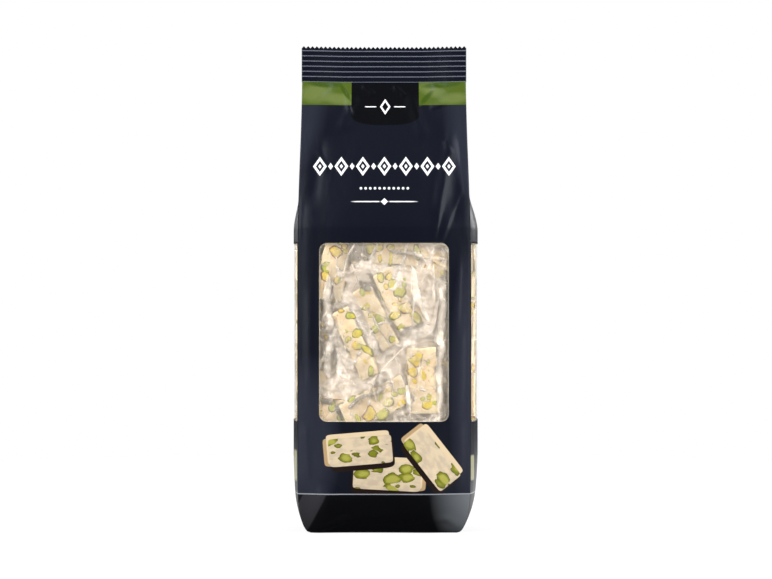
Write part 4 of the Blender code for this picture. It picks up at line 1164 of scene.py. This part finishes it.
def makeFloor():
    look = stageLook
    mesh = bpy.data.meshes.new("floor")
    around = roundAngles(96)
    edge = np.stack([np.cos(around), np.sin(around), np.zeros(96)], axis=-1) * look["floorRadius"]
    mesh.from_pydata(edge.tolist(), [], [list(range(96))])
    material, tree, shader = newMaterial("pale_floor", Base_Color=(*[look["floor"]] * 3, 1), Roughness=0.8,
                                         Specular_IOR_Level=0.1, Emission_Color=(1, 1, 1, 1))
    across = addNode(tree, "ShaderNodeSeparateXYZ", {0: placeInMm(tree)}).outputs[0]
    # the floor's hidden glow beside the bag, for rays other than the camera's
    right = remap(tree, across, look["hiddenGlowFrom"], look["hiddenGlowTo"], 0.0, look["hiddenGlowRight"])
    left = remap(tree, across, -look["hiddenGlowTo"], -look["hiddenGlowFrom"], look["hiddenGlowLeft"], 0.0)
    choice = {0: seenByCamera(tree), 2: calc(tree, "ADD", right, left), 3: look["floorGlow"]}
    level = addNode(tree, "ShaderNodeMix", choice, data_type="FLOAT")
    feed(tree, shader.inputs["Emission Strength"], level.outputs[0])
    mesh.materials.append(material)
    floor = bpy.data.objects.new("floor", mesh)
    bpy.context.scene.collection.objects.link(floor)


def makeWorld():
    world = bpy.data.worlds.new("studio")
    world.use_nodes = True
    tree = world.node_tree
    choice = {0: seenByCamera(tree), 3: stageLook["world"], 4: stageLook["behind"]}
    level = addNode(tree, "ShaderNodeMapRange", choice)
    tree.links.new(level.outputs[0], tree.nodes["Background"].inputs["Strength"])
    tree.nodes["Background"].inputs["Color"].default_value = (1, 1, 1, 1)
    bpy.context.scene.world = world


# Softboxes: azimuth from the camera's side (left is negative), height angle, distance, size, power.
softboxes = {
    "left": (-55, 28, 1.3, (1.0, 1.6), 31),
    "right": (57, 28, 1.3, (0.9, 1.6), 29),
    "behind_left": (-140, 25, 1.3, (0.5, 1.0), 8),
    "behind_right": (140, 25, 1.3, (0.5, 1.0), 8),
    "above": (180, 74, 1.3, (1.2, 0.7), 8),
}


def makeLights():
    target = np.array([axisX * mm, 0, cadHigh[2] * 0.5])
    for name, (azimuth, rise, away, size, power) in softboxes.items():
        azimuth, rise = math.radians(azimuth), math.radians(rise)
        level = math.cos(rise)
        way = np.array([math.sin(azimuth) * level, -math.cos(azimuth) * level, math.sin(rise)])
        light = bpy.data.lights.new(name, "AREA")
        light.shape = "RECTANGLE"
        light.size, light.size_y = size
        light.energy = power
        lamp = bpy.data.objects.new("softbox_" + name, light)
        lamp.location = target + way * away
        lamp.rotation_euler = mathutils.Vector(-way).to_track_quat("-Z", "Y").to_euler()
        bpy.context.scene.collection.objects.link(lamp)


cameraForm = {"away": 1.1, "height": 0.1197, "lens": 102.6, "right": 0.001}


def makeCamera():
    data = bpy.data.cameras.new("camera")
    data.lens = cameraForm["lens"]
    data.sensor_width = 36
    data.clip_start, data.clip_end = 0.05, 100
    camera = bpy.data.objects.new("camera", data)
    camera.location = (axisX * mm + cameraForm["right"], -cameraForm["away"], cameraForm["height"])
    camera.rotation_euler = (math.radians(90), 0, 0)
    bpy.context.scene.collection.objects.link(camera)
    bpy.context.scene.camera = camera


print("stage, lights and camera")
makeFloor()
makeWorld()
makeLights()
makeCamera()
